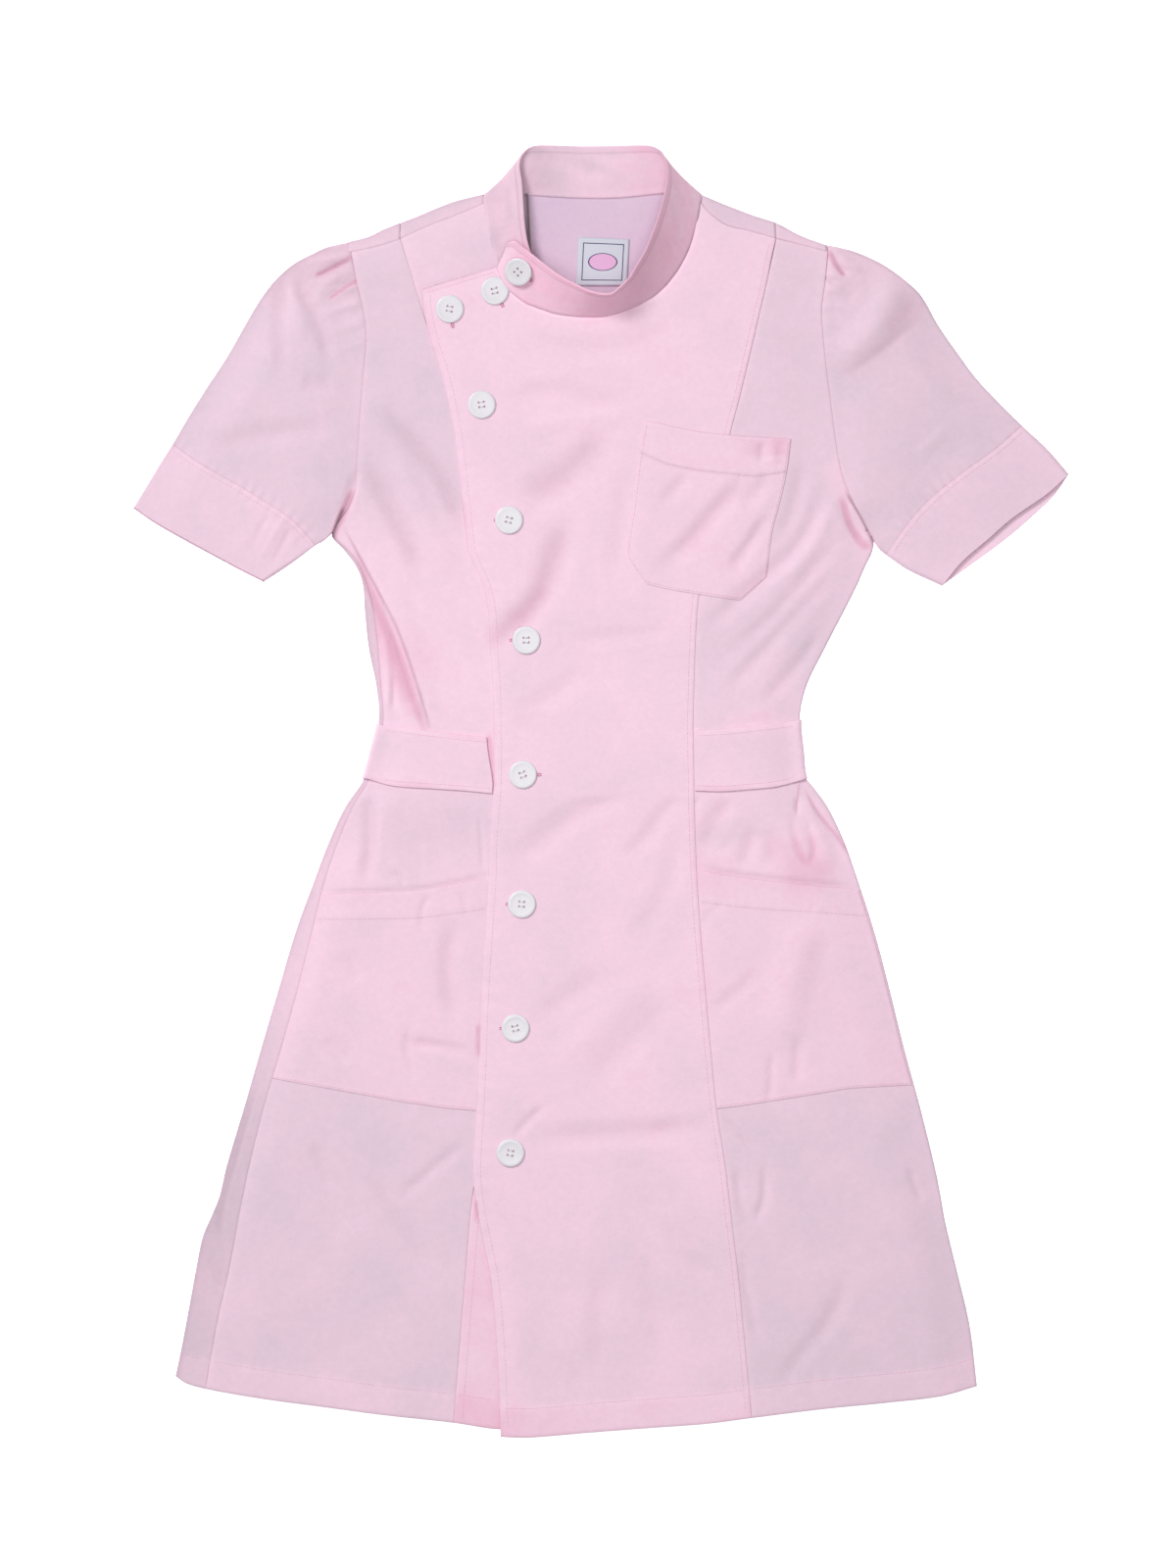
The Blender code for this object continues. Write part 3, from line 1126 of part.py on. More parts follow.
def make_buttons():
    blank = button_blank()
    drill(blank)
    bpy.context.view_layer.update()
    flap = BVHTree.FromObject(bpy.data.objects["front_flap"], bpy.context.evaluated_depsgraph_get())
    for number, (x, y, lies_on) in enumerate(BUTTONS, start=1):
        button = bpy.data.objects.new("button", blank.data.copy())
        bpy.context.scene.collection.objects.link(button)
        if lies_on == "collar":
            place, normal = collar_surface(x, y)
            place = place + normal * (COLLAR_WALL / 2 + COLLAR_REST)
        else:
            spots = [(x + reach * math.cos(turn / 3), y + reach * math.sin(turn / 3))
                     for turn in range(19) for reach in (0, 3, 6, 9.5)]
            height = max(cloth_top(flap, *spot) for spot in spots)
            place, normal = Vector((x, y, height + BUTTON_REST)), Vector((0, 0, 1))
        turn = normal.to_track_quat("Z", "Y").to_matrix().to_4x4()
        turn.translation = place * MM
        button.data.transform(turn)
        keep(button, f"button_{number:02d}", PLASTIC)
    bpy.data.objects.remove(blank, do_unlink=True)


# ---------------------------------------------------------------- the dress

make_body()
make_sleeves()
make_neck()
make_pockets()
cloth_panel("belt", len(BELT_STATIONS) - 1, BELT_ROWS, belt)
make_buttons()
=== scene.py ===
import math
import bmesh
import bpy
import numpy as np
from mathutils import Matrix, Vector, noise
from mathutils.bvhtree import BVHTree


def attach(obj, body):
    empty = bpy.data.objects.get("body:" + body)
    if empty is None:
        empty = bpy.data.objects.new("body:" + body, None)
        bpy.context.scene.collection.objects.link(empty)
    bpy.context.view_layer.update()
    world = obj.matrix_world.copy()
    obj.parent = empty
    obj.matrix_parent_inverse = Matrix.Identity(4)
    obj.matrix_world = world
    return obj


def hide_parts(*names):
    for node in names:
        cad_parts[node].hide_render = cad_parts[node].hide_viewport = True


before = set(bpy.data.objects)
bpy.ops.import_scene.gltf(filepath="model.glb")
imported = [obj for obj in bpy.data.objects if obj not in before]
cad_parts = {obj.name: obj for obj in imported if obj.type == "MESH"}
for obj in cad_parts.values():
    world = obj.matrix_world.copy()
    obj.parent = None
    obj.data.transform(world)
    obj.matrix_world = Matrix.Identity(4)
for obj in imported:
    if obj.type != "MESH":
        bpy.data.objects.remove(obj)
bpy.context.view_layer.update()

# The dress lies on its back: collar towards +Y, front up. Left is -X. Sizes are in millimetres.
mm = 0.001

cloth = {
    "wall": 0.7,            # one layer of twill, as drawn
    "fine": 2.2,            # spacing of the mesh where the cloth shows
    "coarse": 6.0,          # and where it hardly does
    "low": 0.45,            # middle of the layer on the floor
    "roll": 0.9,            # radius of a turned side
    "layer": 1.4,           # from one layer to the next
    "edgeLayer": 0.8,       # the same at a free edge
    "edgeRamp": 14.0,       # how far a free edge's lift runs inward
    "loft": 3.0,            # how far the front stands off the back
    "loftReach": 32.0,
    "foldLift": 1.0,        # share of the folds' full height that shows in cloth lying flat
    "foldSpread": 1.25,     # how much wider soft folds lie than creases
    "soft": 0.15,           # folds less sharp than this are soft
    "foldEdge": 9.0,        # how near to the outline folds run
    "sink": 0.6,            # how far the front may sink towards the back
    "rumple": ((0.35, 46.0, 3.0), (0.07, 9.0, 8.0)),    # height, size and seed of the unevenness
    "edgeSteps": (0.0, 0.45, 1.0, 1.8, 3.0),   # closer columns along each edge
    "topRow": 372.0,        # first row that runs straight across, below the shoulders
    "topReach": 25.0,       # from a shoulder seam down to that row, roughly
    "butt": 0.05,           # half the gap between two panels at their seam
}
edgeSteps = np.array(cloth["edgeSteps"])
high = cloth["low"] + 2 * cloth["roll"]
quarterTurn = cloth["roll"] * math.pi / 2


def smoothStep(value):
    value = np.clip(value, 0.0, 1.0)
    return value * value * (3 - 2 * value)


def bell(distance, reach, power=2):     # 1 on a line, fading to 0 beside it
    return np.exp(-(distance / reach) ** power)


def lerp(start, end, share):
    return start + (end - start) * share


def stacked(*parts):        # x, y and so on side by side in the last axis
    return np.stack(np.broadcast_arrays(*parts), -1)


def valueAt(knots, at):     # smooth curve through (place, value) knots
    rows = np.array(sorted(knots), float)
    places, values = rows[:, 0], rows[:, 1]
    at = np.clip(np.asarray(at, float), places[0], places[-1])
    index = np.clip(np.searchsorted(places, at, side="right") - 1, 0, len(rows) - 2)
    slopes = np.empty(len(rows))
    slopes[1:-1] = (values[2:] - values[:-2]) / (places[2:] - places[:-2])
    slopes[0] = (values[1] - values[0]) / (places[1] - places[0])
    slopes[-1] = (values[-1] - values[-2]) / (places[-1] - places[-2])
    span = places[index + 1] - places[index]
    share = (at - places[index]) / span
    square, cube = share ** 2, share ** 3
    return (values[index] * (2 * cube - 3 * square + 1) + slopes[index] * span * (cube - 2 * square + share)
            + values[index + 1] * (3 * square - 2 * cube) + slopes[index + 1] * span * (cube - square))


def walkedAlong(points):    # length walked up to each point of a line
    return np.concatenate([[0.0], np.cumsum(np.linalg.norm(np.diff(points, axis=0), axis=1))])


def along(points, share):   # places at shares of the length of a smooth line
    points = np.array(points, float)
    walked = walkedAlong(points)
    goal = np.asarray(share, float) * walked[-1]
    return stacked(*[valueAt(list(zip(walked, column)), goal) for column in points.T])


def straightAlong(points, share):
    points = np.array(points, float)
    walked = walkedAlong(points)
    goal = np.asarray(share, float) * walked[-1]
    return stacked(*[np.interp(goal, walked, column) for column in points.T])


def smoothLine(points, step=4.0):
    length = walkedAlong(np.array(points, float))[-1]
    return along(points, np.linspace(0, 1, max(3, int(length / step) + 1)))


def nearest(line, x, y):    # distance to a line, share of its length, and side (left is positive)
    best, share, side = np.full(x.shape, np.inf), np.zeros(x.shape), np.ones(x.shape)
    walked = walkedAlong(line)
    for start, end, passed, length in zip(line, line[1:], walked, np.diff(walked)):
        stepX, stepY = end - start
        reach = max(length, 1e-9) ** 2      # two points may coincide
        part = np.clip(((x - start[0]) * stepX + (y - start[1]) * stepY) / reach, 0, 1)
        offX, offY = x - start[0] - part * stepX, y - start[1] - part * stepY
        distance = np.hypot(offX, offY)
        closer = distance < best
        best = np.where(closer, distance, best)
        share = np.where(closer, (passed + part * length) / walked[-1], share)
        side = np.where(closer, np.sign(stepX * offY - stepY * offX), side)
    return best, share, side


# The cut: each height y, then the x of the outlines and seams that bodyColumns names.
bodyColumns = ("sideLeft", "seamLeft", "princessLeft", "flapEdge", "princessRight", "sideRight")
bodySections = (
    (412, -184.5, -184.5, -148.0, -132.0, 130.0, 162.5),
    (391, -181.2, -181.2, -142.3, -131.0, 124.6, 164.5),
    (366, -176.3, -176.3, -135.0, -129.6, 119.5, 161.8),
    (348, -172.0, -172.0, -129.5, -128.2, 115.2, 159.6),
    (327, -169.9, -169.9, -122.8, -123.5, 110.4, 161.0),
    (306, -171.6, -171.6, -114.6, -116.8, 105.4, 163.1),
    (286, -173.4, -173.4, -109.2, -111.7, 100.6, 165.7),
    (261, -175.2, -175.2, -104.2, -106.7, 94.0, 168.8),
    (235, -176.8, -176.8, -101.0, -103.5, 88.8, 173.1),
    (217, -178.4, -178.4, -99.0, -101.5, 85.3, 179.0),
    (204, -183.4, -183.4, -97.5, -100.0, 82.8, 185.0),
    (192, -192.0, -192.0, -96.2, -98.7, 80.4, 191.0),
    (184, -193.5, -193.5, -95.2, -97.7, 78.8, 196.0),
    (175, -186.5, -183.5, -94.3, -96.8, 77.1, 197.0),
    (163, -177.5, -174.5, -89.3, -91.8, 74.7, 191.6),
    (150, -172.7, -169.5, -83.5, -86.0, 72.2, 186.0),
    (132, -171.3, -164.9, -79.5, -82.0, 69.8, 177.0),
    (104, -168.4, -161.6, -77.9, -80.4, 68.2, 162.5),
    (76, -162.8, -159.4, -75.9, -78.4, 67.3, 148.9),
    (52, -161.0, -157.6, -75.5, -78.0, 66.7, 144.0),
    (28, -166.5, -162.5, -75.3, -77.8, 66.9, 145.8),
    (10, -171.5, -167.5, -75.2, -77.7, 67.2, 148.0),
    (4, -174.5, -170.3, -75.2, -77.7, 67.3, 153.0),
    (-12, -185.5, -180.0, -76.5, -79.0, 67.6, 164.5),
    (-38, -197.6, -191.0, -78.5, -81.0, 68.4, 176.8),
    (-66, -208.2, -200.5, -79.3, -81.8, 69.6, 186.6),
    (-101, -221.0, -209.3, -81.5, -84.0, 72.0, 197.9),
    (-144, -233.8, -220.0, -84.3, -86.8, 75.6, 209.3),
    (-187, -246.5, -231.9, -85.9, -88.4, 79.4, 219.9),
    (-229, -258.6, -244.3, -87.7, -90.2, 83.5, 231.3),
    (-272, -271.4, -254.9, -90.2, -92.7, 90.1, 241.9),
    (-293, -276.4, -259.3, -93.2, -91.0, 92.8, 246.2),
    (-307, -282.0, -262.3, -94.9, -88.2, 94.5, 248.6),
    (-322, -288.4, -264.9, -96.2, -84.8, 96.4, 252.0),
    (-343, -292.9, -269.0, -98.2, -79.8, 99.3, 257.2),
    (-385, -300.4, -278.5, -102.2, -75.2, 104.0, 267.0),
    (-430, -308.3, -286.3, -106.7, -72.6, 109.2, 272.5),
)
bodyEdges = {name: [(row[0], row[index]) for row in bodySections]
             for index, name in enumerate(bodyColumns, start=1)}
bodyEdges["underlapEdge"] = (
    (425.5, -84.7), (400.6, -79.7), (380.0, -74.7), (363.0, -66.9), (345.0, -63.0), (316.0, -61.5),
    (280.0, -60.0), (235.0, -52.0), (196.0, -46.0), (150.0, -38.0), (104.0, -34.0), (0.0, -33.0),
    (-80.0, -38.0), (-180.0, -43.0), (-272.0, -47.0), (-322.0, -42.0), (-385.0, -33.0), (-430.0, -31.0),
)
hem = {
    "level": -430.0,        # last height of the table, which the hem curves down from
    "start": -250.0,
    "depth": 21.0,          # from the edge up to its stitching
    "line": (
        (-308.3, -423.5), (-301.0, -428.5), (-286.3, -432.6), (-243.7, -440.0), (-201.1, -445.7),
        (-158.5, -451.4), (-106.7, -457.1), (-76.9, -461.5), (-30.0, -463.5), (30.0, -460.9),
        (75.8, -457.8), (109.2, -453.5), (161.0, -447.1), (203.6, -442.9), (246.2, -437.9),
        (272.5, -430.8),
    ),
    "flapLine": (
        (-72.6, -467.3), (-52.0, -467.7), (-9.4, -464.2), (33.2, -460.9), (75.8, -457.8), (109.2, -453.5),
    ),
    "under": 2.0,           # how much shorter the back is
}
shoulder = {
    "foldLeft": ((-183.4, 397.8), (-168.4, 401.6), (-156.4, 407.4), (-135.1, 415.5), (-108.8, 426.2),
                 (-84.7, 432.6)),
    "seamLeft": ((-181.0, 390.5), (-160.6, 394.9), (-145.7, 399.9), (-127.3, 408.4), (-108.8, 415.5),
                 (-84.7, 425.5)),
    "foldRight": ((71.5, 432.6), (90.0, 424.8), (110.6, 416.9), (127.6, 411.3), (144.0, 402.7),
                  (163.1, 395.5)),
    "seamRight": ((71.5, 427.6), (76.0, 420.6), (90.0, 409.8), (106.3, 405.6), (126.9, 399.9),
                  (148.2, 394.9), (164.3, 390.7)),
    "princessLeft": -145.5,     # where the princess seams meet the shoulder seams
    "princessRight": 126.9,
    "inwardLeft": (0.33, -0.944),
    "inwardRight": (-0.36, -0.933),
}
neck = {
    "front": ((-75.0, 379.5), (-66.9, 363.0), (-54.1, 353.0), (-35.0, 345.9), (-11.5, 343.1), (4.8, 343.8),
              (20.4, 348.8), (36.0, 356.6), (52.4, 372.2), (65.1, 395.6), (70.1, 416.9), (71.5, 427.6)),
    "back": ((-84.0, 433.4), (-53.4, 433.8), (-19.3, 432.6), (12.6, 432.6), (43.8, 434.8), (71.0, 433.6)),
    "flapCorner": (-129.4, 363.0),
    # where the band's left part covers the inside of the neck, and where a painted shadow runs along its edge
    "tuckedSide": ((-55.5, 446.0), (-54.0, 436.0), (-53.2, 425.0), (-52.7, 410.0), (-51.9, 390.0),
                   (-50.2, 380.0)),
    "tuckedBand": ((-57.6, 462.0), (-56.3, 452.0), (-55.2, 442.0), (-54.2, 432.0)),
}
backPrincess = (            # y, middle of the back, half the width of the centre back
    (400.0, -9.0, 136.0), (295.0, -9.0, 100.0), (183.0, -8.0, 79.0), (56.0, -8.0, 64.0), (-2.0, -8.0, 65.0),
    (-96.0, -11.0, 74.0), (-280.0, -14.0, 92.0), (-430.0, -18.0, 106.0),
)
armpit = {"left": 184.0, "run": 5.0, "spread": 8.0}


def edgeX(name, y):
    return valueAt(bodyEdges[name], y)


def backSeamX(side, y):
    rows = np.array(backPrincess[::-1])
    return np.interp(y, rows[:, 0], rows[:, 1]) + side * np.interp(y, rows[:, 0], rows[:, 2])


def rowDown(y):             # share of the hem's curve that a row takes on
    return np.clip((hem["start"] - y) / (hem["start"] - hem["level"]), 0, 1) ** 2


def onDress(x, y, line=None):
    drop = valueAt(line or hem["line"], x) - hem["level"]
    return x, y + rowDown(y) * drop


sleeves = {
    "left": {
        "side": "sideLeft", "out": -1, "drawn": 0.8, "edgeInset": 1.1,
        "upper": ((-197.6, 394.2), (-210.3, 388.5), (-223.1, 381.4), (-235.2, 370.8), (-245.8, 357.3),
                  (-256.5, 339.6), (-270.7, 314.7), (-285.6, 292.0), (-297.7, 272.8), (-310.3, 251.3)),
        "lower": ((-200.5, 181.6), (-206.5, 178.2)),
        "armhole": (397.6, 188.0),
        "bandSeam": ((-310.3, 251.3), (-291.3, 238.0), (-270.7, 226.0), (-250.1, 213.9), (-223.1, 196.0),
                     (-206.5, 178.2)),
        "bandUpper": ((-310.3, 251.3), (-316.5, 241.6), (-339.0, 204.7)),
        "bandLower": ((-206.5, 178.2), (-223.1, 165.6), (-244.4, 151.4)),
        "bandEdge": ((-339.0, 204.7), (-326.8, 196.1), (-306.2, 184.1), (-281.3, 170.6), (-260.0, 159.2),
                     (-244.4, 151.4)),
    },
    "right": {
        "side": "sideRight", "out": 1, "drawn": 2.4, "edgeInset": 0.0,
        "upper": ((179.5, 392.1), (194.4, 386.4), (206.4, 380.0), (219.2, 370.8), (231.3, 359.4),
                  (244.1, 337.4), (256.8, 319.0), (271.0, 299.8), (286.0, 283.5), (305.0, 264.6)),
        "lower": ((201.5, 175.5), (206.5, 170.8)),
        "armhole": (395.5, 184.0),
        "bandSeam": ((305.0, 264.6), (286.0, 248.0), (262.5, 230.9), (239.8, 212.6), (223.5, 195.0),
                     (206.5, 170.8)),
        "bandUpper": ((305.0, 264.6), (322.9, 248.0), (339.0, 229.5)),
        "bandLower": ((206.5, 170.8), (222.0, 160.3), (246.9, 148.6)),
        "bandEdge": ((339.0, 229.5), (324.3, 216.1), (298.0, 197.7), (281.7, 183.5), (260.4, 165.0),
                     (246.9, 148.6)),
        "bandEdgeBelow": ((339.0, 229.5), (330.0, 216.0), (314.0, 200.5), (295.0, 184.0), (275.0, 169.0),
                          (246.9, 148.6)),
    },
}

# Folds: how far each one reaches to its west and its east, its height, how sharp it is (0 soft, 1 a
# crease) and its route, which runs down the dress.
folds = (
    # left side of the bodice
    (4, 20, 2.4, .2, ((-187, 193), (-172, 173), (-150, 124), (-134, 79), (-115, 46))),
    (12, 3.5, -2.4, .3, ((-166, 153), (-151, 108), (-138, 68), (-129, 46))),
    (4, 4, -1.4, .3, ((-151, 83), (-150, 66), (-151, 46))),
    (4, 4, -1.5, .3, ((-130, 73), (-127, 58), (-124, 43))),
    (5, 5, 1.0, .2, ((-158, 119), (-154, 83), (-156, 51))),
    (9, 9, -2.3, .1, ((-172, 236), (-161, 220), (-148, 196), (-134, 168), (-126, 153))),
    (9, 7, -2.2, .1, ((-156, 274), (-136, 252), (-117, 230), (-103, 203), (-94, 180))),
    (10, 10, 1.4, .1, ((-153, 250), (-142, 230), (-130, 203), (-117, 177), (-107, 154))),
    (7, 5, -1.6, .2, ((-176, 234), (-181, 215), (-188, 197))),
    (10, 10, .8, .1, ((-171, 271), (-163, 283), (-151, 275))),
    # flap
    (12, 12, -1.1, .1, ((54, 339), (26, 325), (-2, 320), (-31, 322), (-59, 334))),
    (9, 10, -1.2, .1, ((26, 280), (-3, 284), (-34, 291), (-74, 280))),
    (9, 9, .8, .1, ((26, 271), (-9, 270), (-38, 266), (-63, 261))),
    (14, 19, -2.4, .1, ((5, 260), (-15, 239), (-34, 224), (-60, 212))),
    (12, 14, -2.7, .1, ((-23, 200), (-31, 174), (-38, 152), (-52, 131), (-69, 117), (-83, 106))),
    (10, 10, -1.0, .1, ((21, 234), (16, 201), (10, 153))),
    (10, 11, -1.1, .1, ((-8, 89), (-28, 75), (-47, 63), (-68, 46))),
    (8, 8, -.9, .1, ((57, 117), (12, 112), (-25, 109))),
    (12, 12, -1.4, .1, ((22, 4), (-4, -9), (-31, -25), (-52, -42), (-70, -51))),
    (8, 9, -1.0, .1, ((61, -1), (46, -14), (33, -32), (15, -51))),
    (10, 10, -.8, .1, ((57, -30), (47, -71), (22, -112))),
    (11, 11, -1.0, .1, ((7, -128), (-20, -146), (-51, -169))),
    (14, 14, -1.1, .1, ((51, -148), (22, -180), (-10, -213))),
    (12, 12, .8, .1, ((36, -130), (4, -164), (-34, -198))),
    (5, 5, -1.5, .3, ((-41, -228), (-51, -237), (-63, -250))),
    (11, 11, -1.7, .1, ((84, -243), (35, -246), (-9, -249), (-51, -250))),
    (11, 11, -.9, .1, ((2, -343), (-1, -382), (-2, -421))),
    (8, 8, -.9, .1, ((46, -309), (64, -336), (83, -354))),
    (10, 10, -.8, .1, ((30, -334), (37, -371), (47, -412))),
    (4, 4, -.9, .2, ((-58, 19), (-67, 24), (-75, 17))),
    # right side of the bodice
    (8, 8, -1.3, .1, ((147, 242), (140, 207), (128, 177))),
    (8, 9, -1.6, .1, ((162, 222), (154, 199), (140, 175), (121, 157), (96, 136), (71, 113))),
    (7, 7, 1.1, .1, ((169, 210), (157, 185), (141, 163), (118, 145))),
    (7, 8, -1.25, .1, ((177, 188), (154, 160), (121, 124), (92, 100))),
    (7, 8, -1.25, .1, ((174, 163), (148, 136), (121, 105), (87, 69))),
    (7, 7, -1.1, .1, ((161, 117), (140, 89), (114, 61))),
    (5, 7, -1.4, .1, ((172, 216), (179, 197), (189, 178))),
    # waist
    (3, 4, -2.0, .5, ((144, 8), (142, -6), (141, -18))),
    (4, 4, -.8, .1, ((138, -10), (140, -32), (144, -45), (150, -52), (154, -46), (152, -30),
                     (147, -10))),
    (8, 8, -1.2, .1, ((113, -26), (107, -40), (102, -56))),
    (3, 5, -1.8, .4, ((145, 6), (156, -14), (170, -32), (180, -46))),
    (7, 7, 1.3, .1, ((144, 0), (154, -23), (162, -41), (169, -60))),
    (10, 10, -1.4, .1, ((96, -4), (82, -23), (74, -46))),
    (3, 3, -.9, .3, ((71, 0), (69, -12))),
    (9, 9, -.8, .1, ((120, -27), (125, -55))),
    (7, 7, -2.2, .1, ((-168, 1), (-167, -35), (-171, -69))),
    (4, 4, -1.0, .3, ((-152, -58), (-145, -63), (-142, -70))),
    (4, 3, -.9, .2, ((-88, -15), (-86, -36), (-85, -60))),
    # hip pockets and the sides of the skirt
    (4, 4, -1.0, .2, ((-124, -74), (-130, -89), (-127, -103))),
    (4, 4, -.8, .2, ((-102, -72), (-96, -89))),
    (9, 9, -1.9, .1, ((-106, -93), (-111, -121), (-109, -149), (-101, -169))),
    (6, 6, -1.5, .2, ((-141, -181), (-118, -184), (-95, -189))),
    (5, 5, -1.0, .2, ((-139, -171), (-141, -189), (-134, -208))),
    (9, 9, -.9, .1, ((-201, -179), (-181, -195))),
    (8, 8, -.7, .1, ((-183, -116), (-177, -140))),
    (20, 15, 1.9, .1, ((152, -89), (144, -119), (136, -151), (133, -188))),
    (6, 6, -1.1, .1, ((143, -176), (141, -212))),
    (5, 5, -1.1, .3, ((124, -187), (121, -228))),
    (4, 4, -.5, .2, ((89, -81), (78, -89), (72, -100))),
    (7, 7, -.9, .1, ((115, -128), (102, -142), (79, -160))),
    (6, 3.5, -1.9, .2, ((-249, -214), (-258, -243), (-265, -268), (-271, -289), (-275, -307), (-274, -323),
                        (-270, -337))),
    (5, 5, -1.3, .3, ((-285, -338), (-278, -350), (-273, -364))),
    (7, 7, -1.2, .1, ((-208, -252), (-200, -277), (-190, -289))),
    (7, 7, -1.2, .1, ((-168, -273), (-150, -306), (-133, -331), (-121, -353))),
    (6, 6, -1.1, .1, ((-97, -254), (-116, -269), (-133, -283), (-146, -296))),
    (3, 4, -1.5, .4, ((86, -235), (97, -245), (113, -263))),
    (6, 6, -1.2, .2, ((98, -270), (101, -299), (108, -316))),
    (5, 6, -1.4, .2, ((117, -269), (118, -292), (111, -314))),
    (5, 5, -1.1, .1, ((101, -330), (108, -375), (117, -402))),
    (8, 9, -1.2, .1, ((177, -346), (172, -370), (160, -390), (147, -405), (136, -420), (131, -433))),
    (5, 5, -1.2, .2, ((222, -272), (227, -286), (234, -299))),
    # breast pocket
    (8, 10, -2.0, .1, ((108, 229), (93, 214), (80, 200), (62, 179), (40, 159))),
    (7, 7, -1.3, .1, ((64, 229), (54, 218), (43, 207))),
    (8, 8, -1.3, .1, ((122, 228), (112, 216), (100, 207))),
    (6, 7, -1.9, .1, ((122, 201), (108, 180), (92, 158))),
    (4, 4, -1.2, .3, ((117, 254), (115, 237))),
    (5, 5, .9, .2, ((124, 254), (125, 235))),
    # left sleeve
    (3, 4, -2.2, .5, ((-184, 384), (-195, 378), (-208, 371))),
    (3, 4, -1.9, .5, ((-176, 370), (-187, 365), (-198, 357))),
    (3, 6, 1.5, .2, ((-186, 388), (-203, 385), (-222, 381))),
    (6, 6, 1.4, .2, ((-187, 373), (-198, 367), (-207, 357))),
    (7, 7, -2.2, .1, ((-221, 376), (-216, 362), (-208, 348), (-201, 329), (-195, 308))),
    (7, 7, 1.6, .1, ((-225, 373), (-221, 350), (-214, 325))),
    (8, 7, -1.9, .1, ((-230, 374), (-232, 350), (-232, 322), (-228, 300))),
    (9, 9, -1.1, .1, ((-193, 296), (-205, 294), (-217, 297))),
    (11, 10, -1.3, .1, ((-185, 270), (-211, 262), (-240, 259), (-264, 254), (-288, 249))),
    # right sleeve
    (3, 4, -2.4, .5, ((167, 389), (172, 381), (178, 371))),
    (3, 3, -1.6, .5, ((162, 373), (170, 367))),
    (6, 6, 1.3, .2, ((172, 389), (181, 381), (189, 375))),
    (8, 8, -1.0, .1, ((174, 366), (185, 357))),
    (15, 16, 3.8, .1, ((213, 378), (210, 360), (203, 342), (189, 324), (168, 309))),
    (6, 5, -.6, .2, ((236, 345), (212, 325), (191, 309), (173, 298))),
    (6, 6, .7, .1, ((250, 262), (228, 242))),
    # left cuff
    (4, 4, -1.3, .3, ((-223, 194), (-232, 176), (-241, 159))),
    (4, 4, .9, .2, ((-230, 197), (-240, 180), (-248, 164))),
    (4, 4, -.9, .3, ((-240, 202), (-247, 189), (-256, 172))),
)
foldLines = [(*rule, smoothLine(route, 5.0)) for *rule, route in folds]

# Painted shade and pinker painted bounce light where cloth is tucked away, creased or in a gap; some rows
# change only the tint, and a negative shade is painted light: reach, tint, shade and route.
paintedShades = (
    (3.0, .85, .10, ((174, 213), (177, 202), (180, 193), (184, 186), (189, 179), (197, 176))),
    (1.2, .50, .34, ((177, 217), (184, 205), (189, 197), (194, 187), (199, 176))),
    (8.0, .25, .02, ((168, 240), (172, 222), (176, 208))),
    (1.5, .60, .48, ((-186, 206), (-190, 197), (-193, 189), (-196, 179))),
    (2.6, .90, .14, ((-180, 218), (-185, 207), (-190, 196), (-196, 179))),
    (5.0, .40, .06, ((-179, 222), (-184, 206), (-190, 192))),
    (3.2, .60, .10, ((-180, 176), (-162, 132), (-150, 106), (-138, 74), (-125, 36))),
    (7.0, .30, .02, ((-162, 125), (-152, 98), (-141, 66), (-134, 48))),
    (0.9, .30, .26, ((-189, 196), (-170, 161), (-149, 121), (-134, 80), (-122, 40))),
    (7.0, .00, .05, ((-172, 240), (-161, 220), (-148, 196), (-130, 160))),
    (7.0, .00, .05, ((-160, 278), (-136, 252), (-117, 230), (-100, 196))),
    (1.8, 1.4, .05, ((-81.5, 41), (-80.5, 30), (-79.5, 12), (-78.6, 0))),
    (6.0, .30, .02, ((88, 50), (108, 53), (128, 56))),
    (1.6, .95, .10, ((-180, 387), (-192, 380), (-208, 373))),
    (1.4, .95, .09, ((-174, 371), (-187, 363), (-199, 354))),
    (1.8, .90, .10, ((165, 392), (170, 380), (177, 372))),
    (1.8, .50, .08, ((-89, -168), (-89, -193))),
    (1.8, .50, .08, ((-90, -295), (-90, -312))),
    (1.2, .50, .13, ((144, 9), (142, -6), (141, -19))),
    (3.2, .25, .03, ((140, -30), (144, -45), (150, -52), (154, -46), (152, -30))),
    (1.4, .40, .09, ((145, 5), (156, -14), (170, -32), (180, -46))),
    (6.0, .15, .06, ((-40, 152), (-54, 130), (-71, 115), (-82, 103))),
    (7.0, .00, .04, ((3, 259), (-15, 239), (-34, 224), (-58, 212))),
    (9.0, .10, .05, ((112, 254), (110, 242))),
    (7.0, .30, .02, ((128, 256), (128, 242))),
    (9.0, .20, .08, ((233, 356), (209, 330), (186, 312), (168, 299))),
    (12.0, .20, .08, ((240, 362), (222, 348), (204, 332))),
    (12.0, .10, .03, ((-52, 152), (-40, 172), (-30, 192))),
    (12.0, .15, .03, ((118, -30), (140, -50), (170, -60))),
    (9.0, .20, .00, ((-78, -300), (-68, -380), (-62, -470))),
    # between the belt and the hip pockets, with the line of shade above each pocket
    (22.0, -.09, .02, ((-152, -30), (-120, -33), (-92, -30))),
    (15.0, -.16, .03, ((80, -24), (90, -42))),
    (9.0, .12, .03, ((132, -60), (158, -62), (176, -66))),
    (1.7, .10, .14, ((-203, -72.4), (-158, -70.8), (-130, -69.2), (-117, -67), (-80, -59.6))),
    (2.2, .10, .11, ((70, -53.6), (92, -58), (115, -61.4), (185, -68.5))),
    (16.0, .05, .03, ((150, -100), (155, -140), (160, -180))),
    # painted light on the front just outside the collar
    (1.3, .05, -.10, ((-76, 384), (-67, 362), (-54, 352), (-35, 345), (-11, 342), (5, 343), (21, 348),
                      (37, 355), (53, 371), (66, 395), (72, 420))),
)
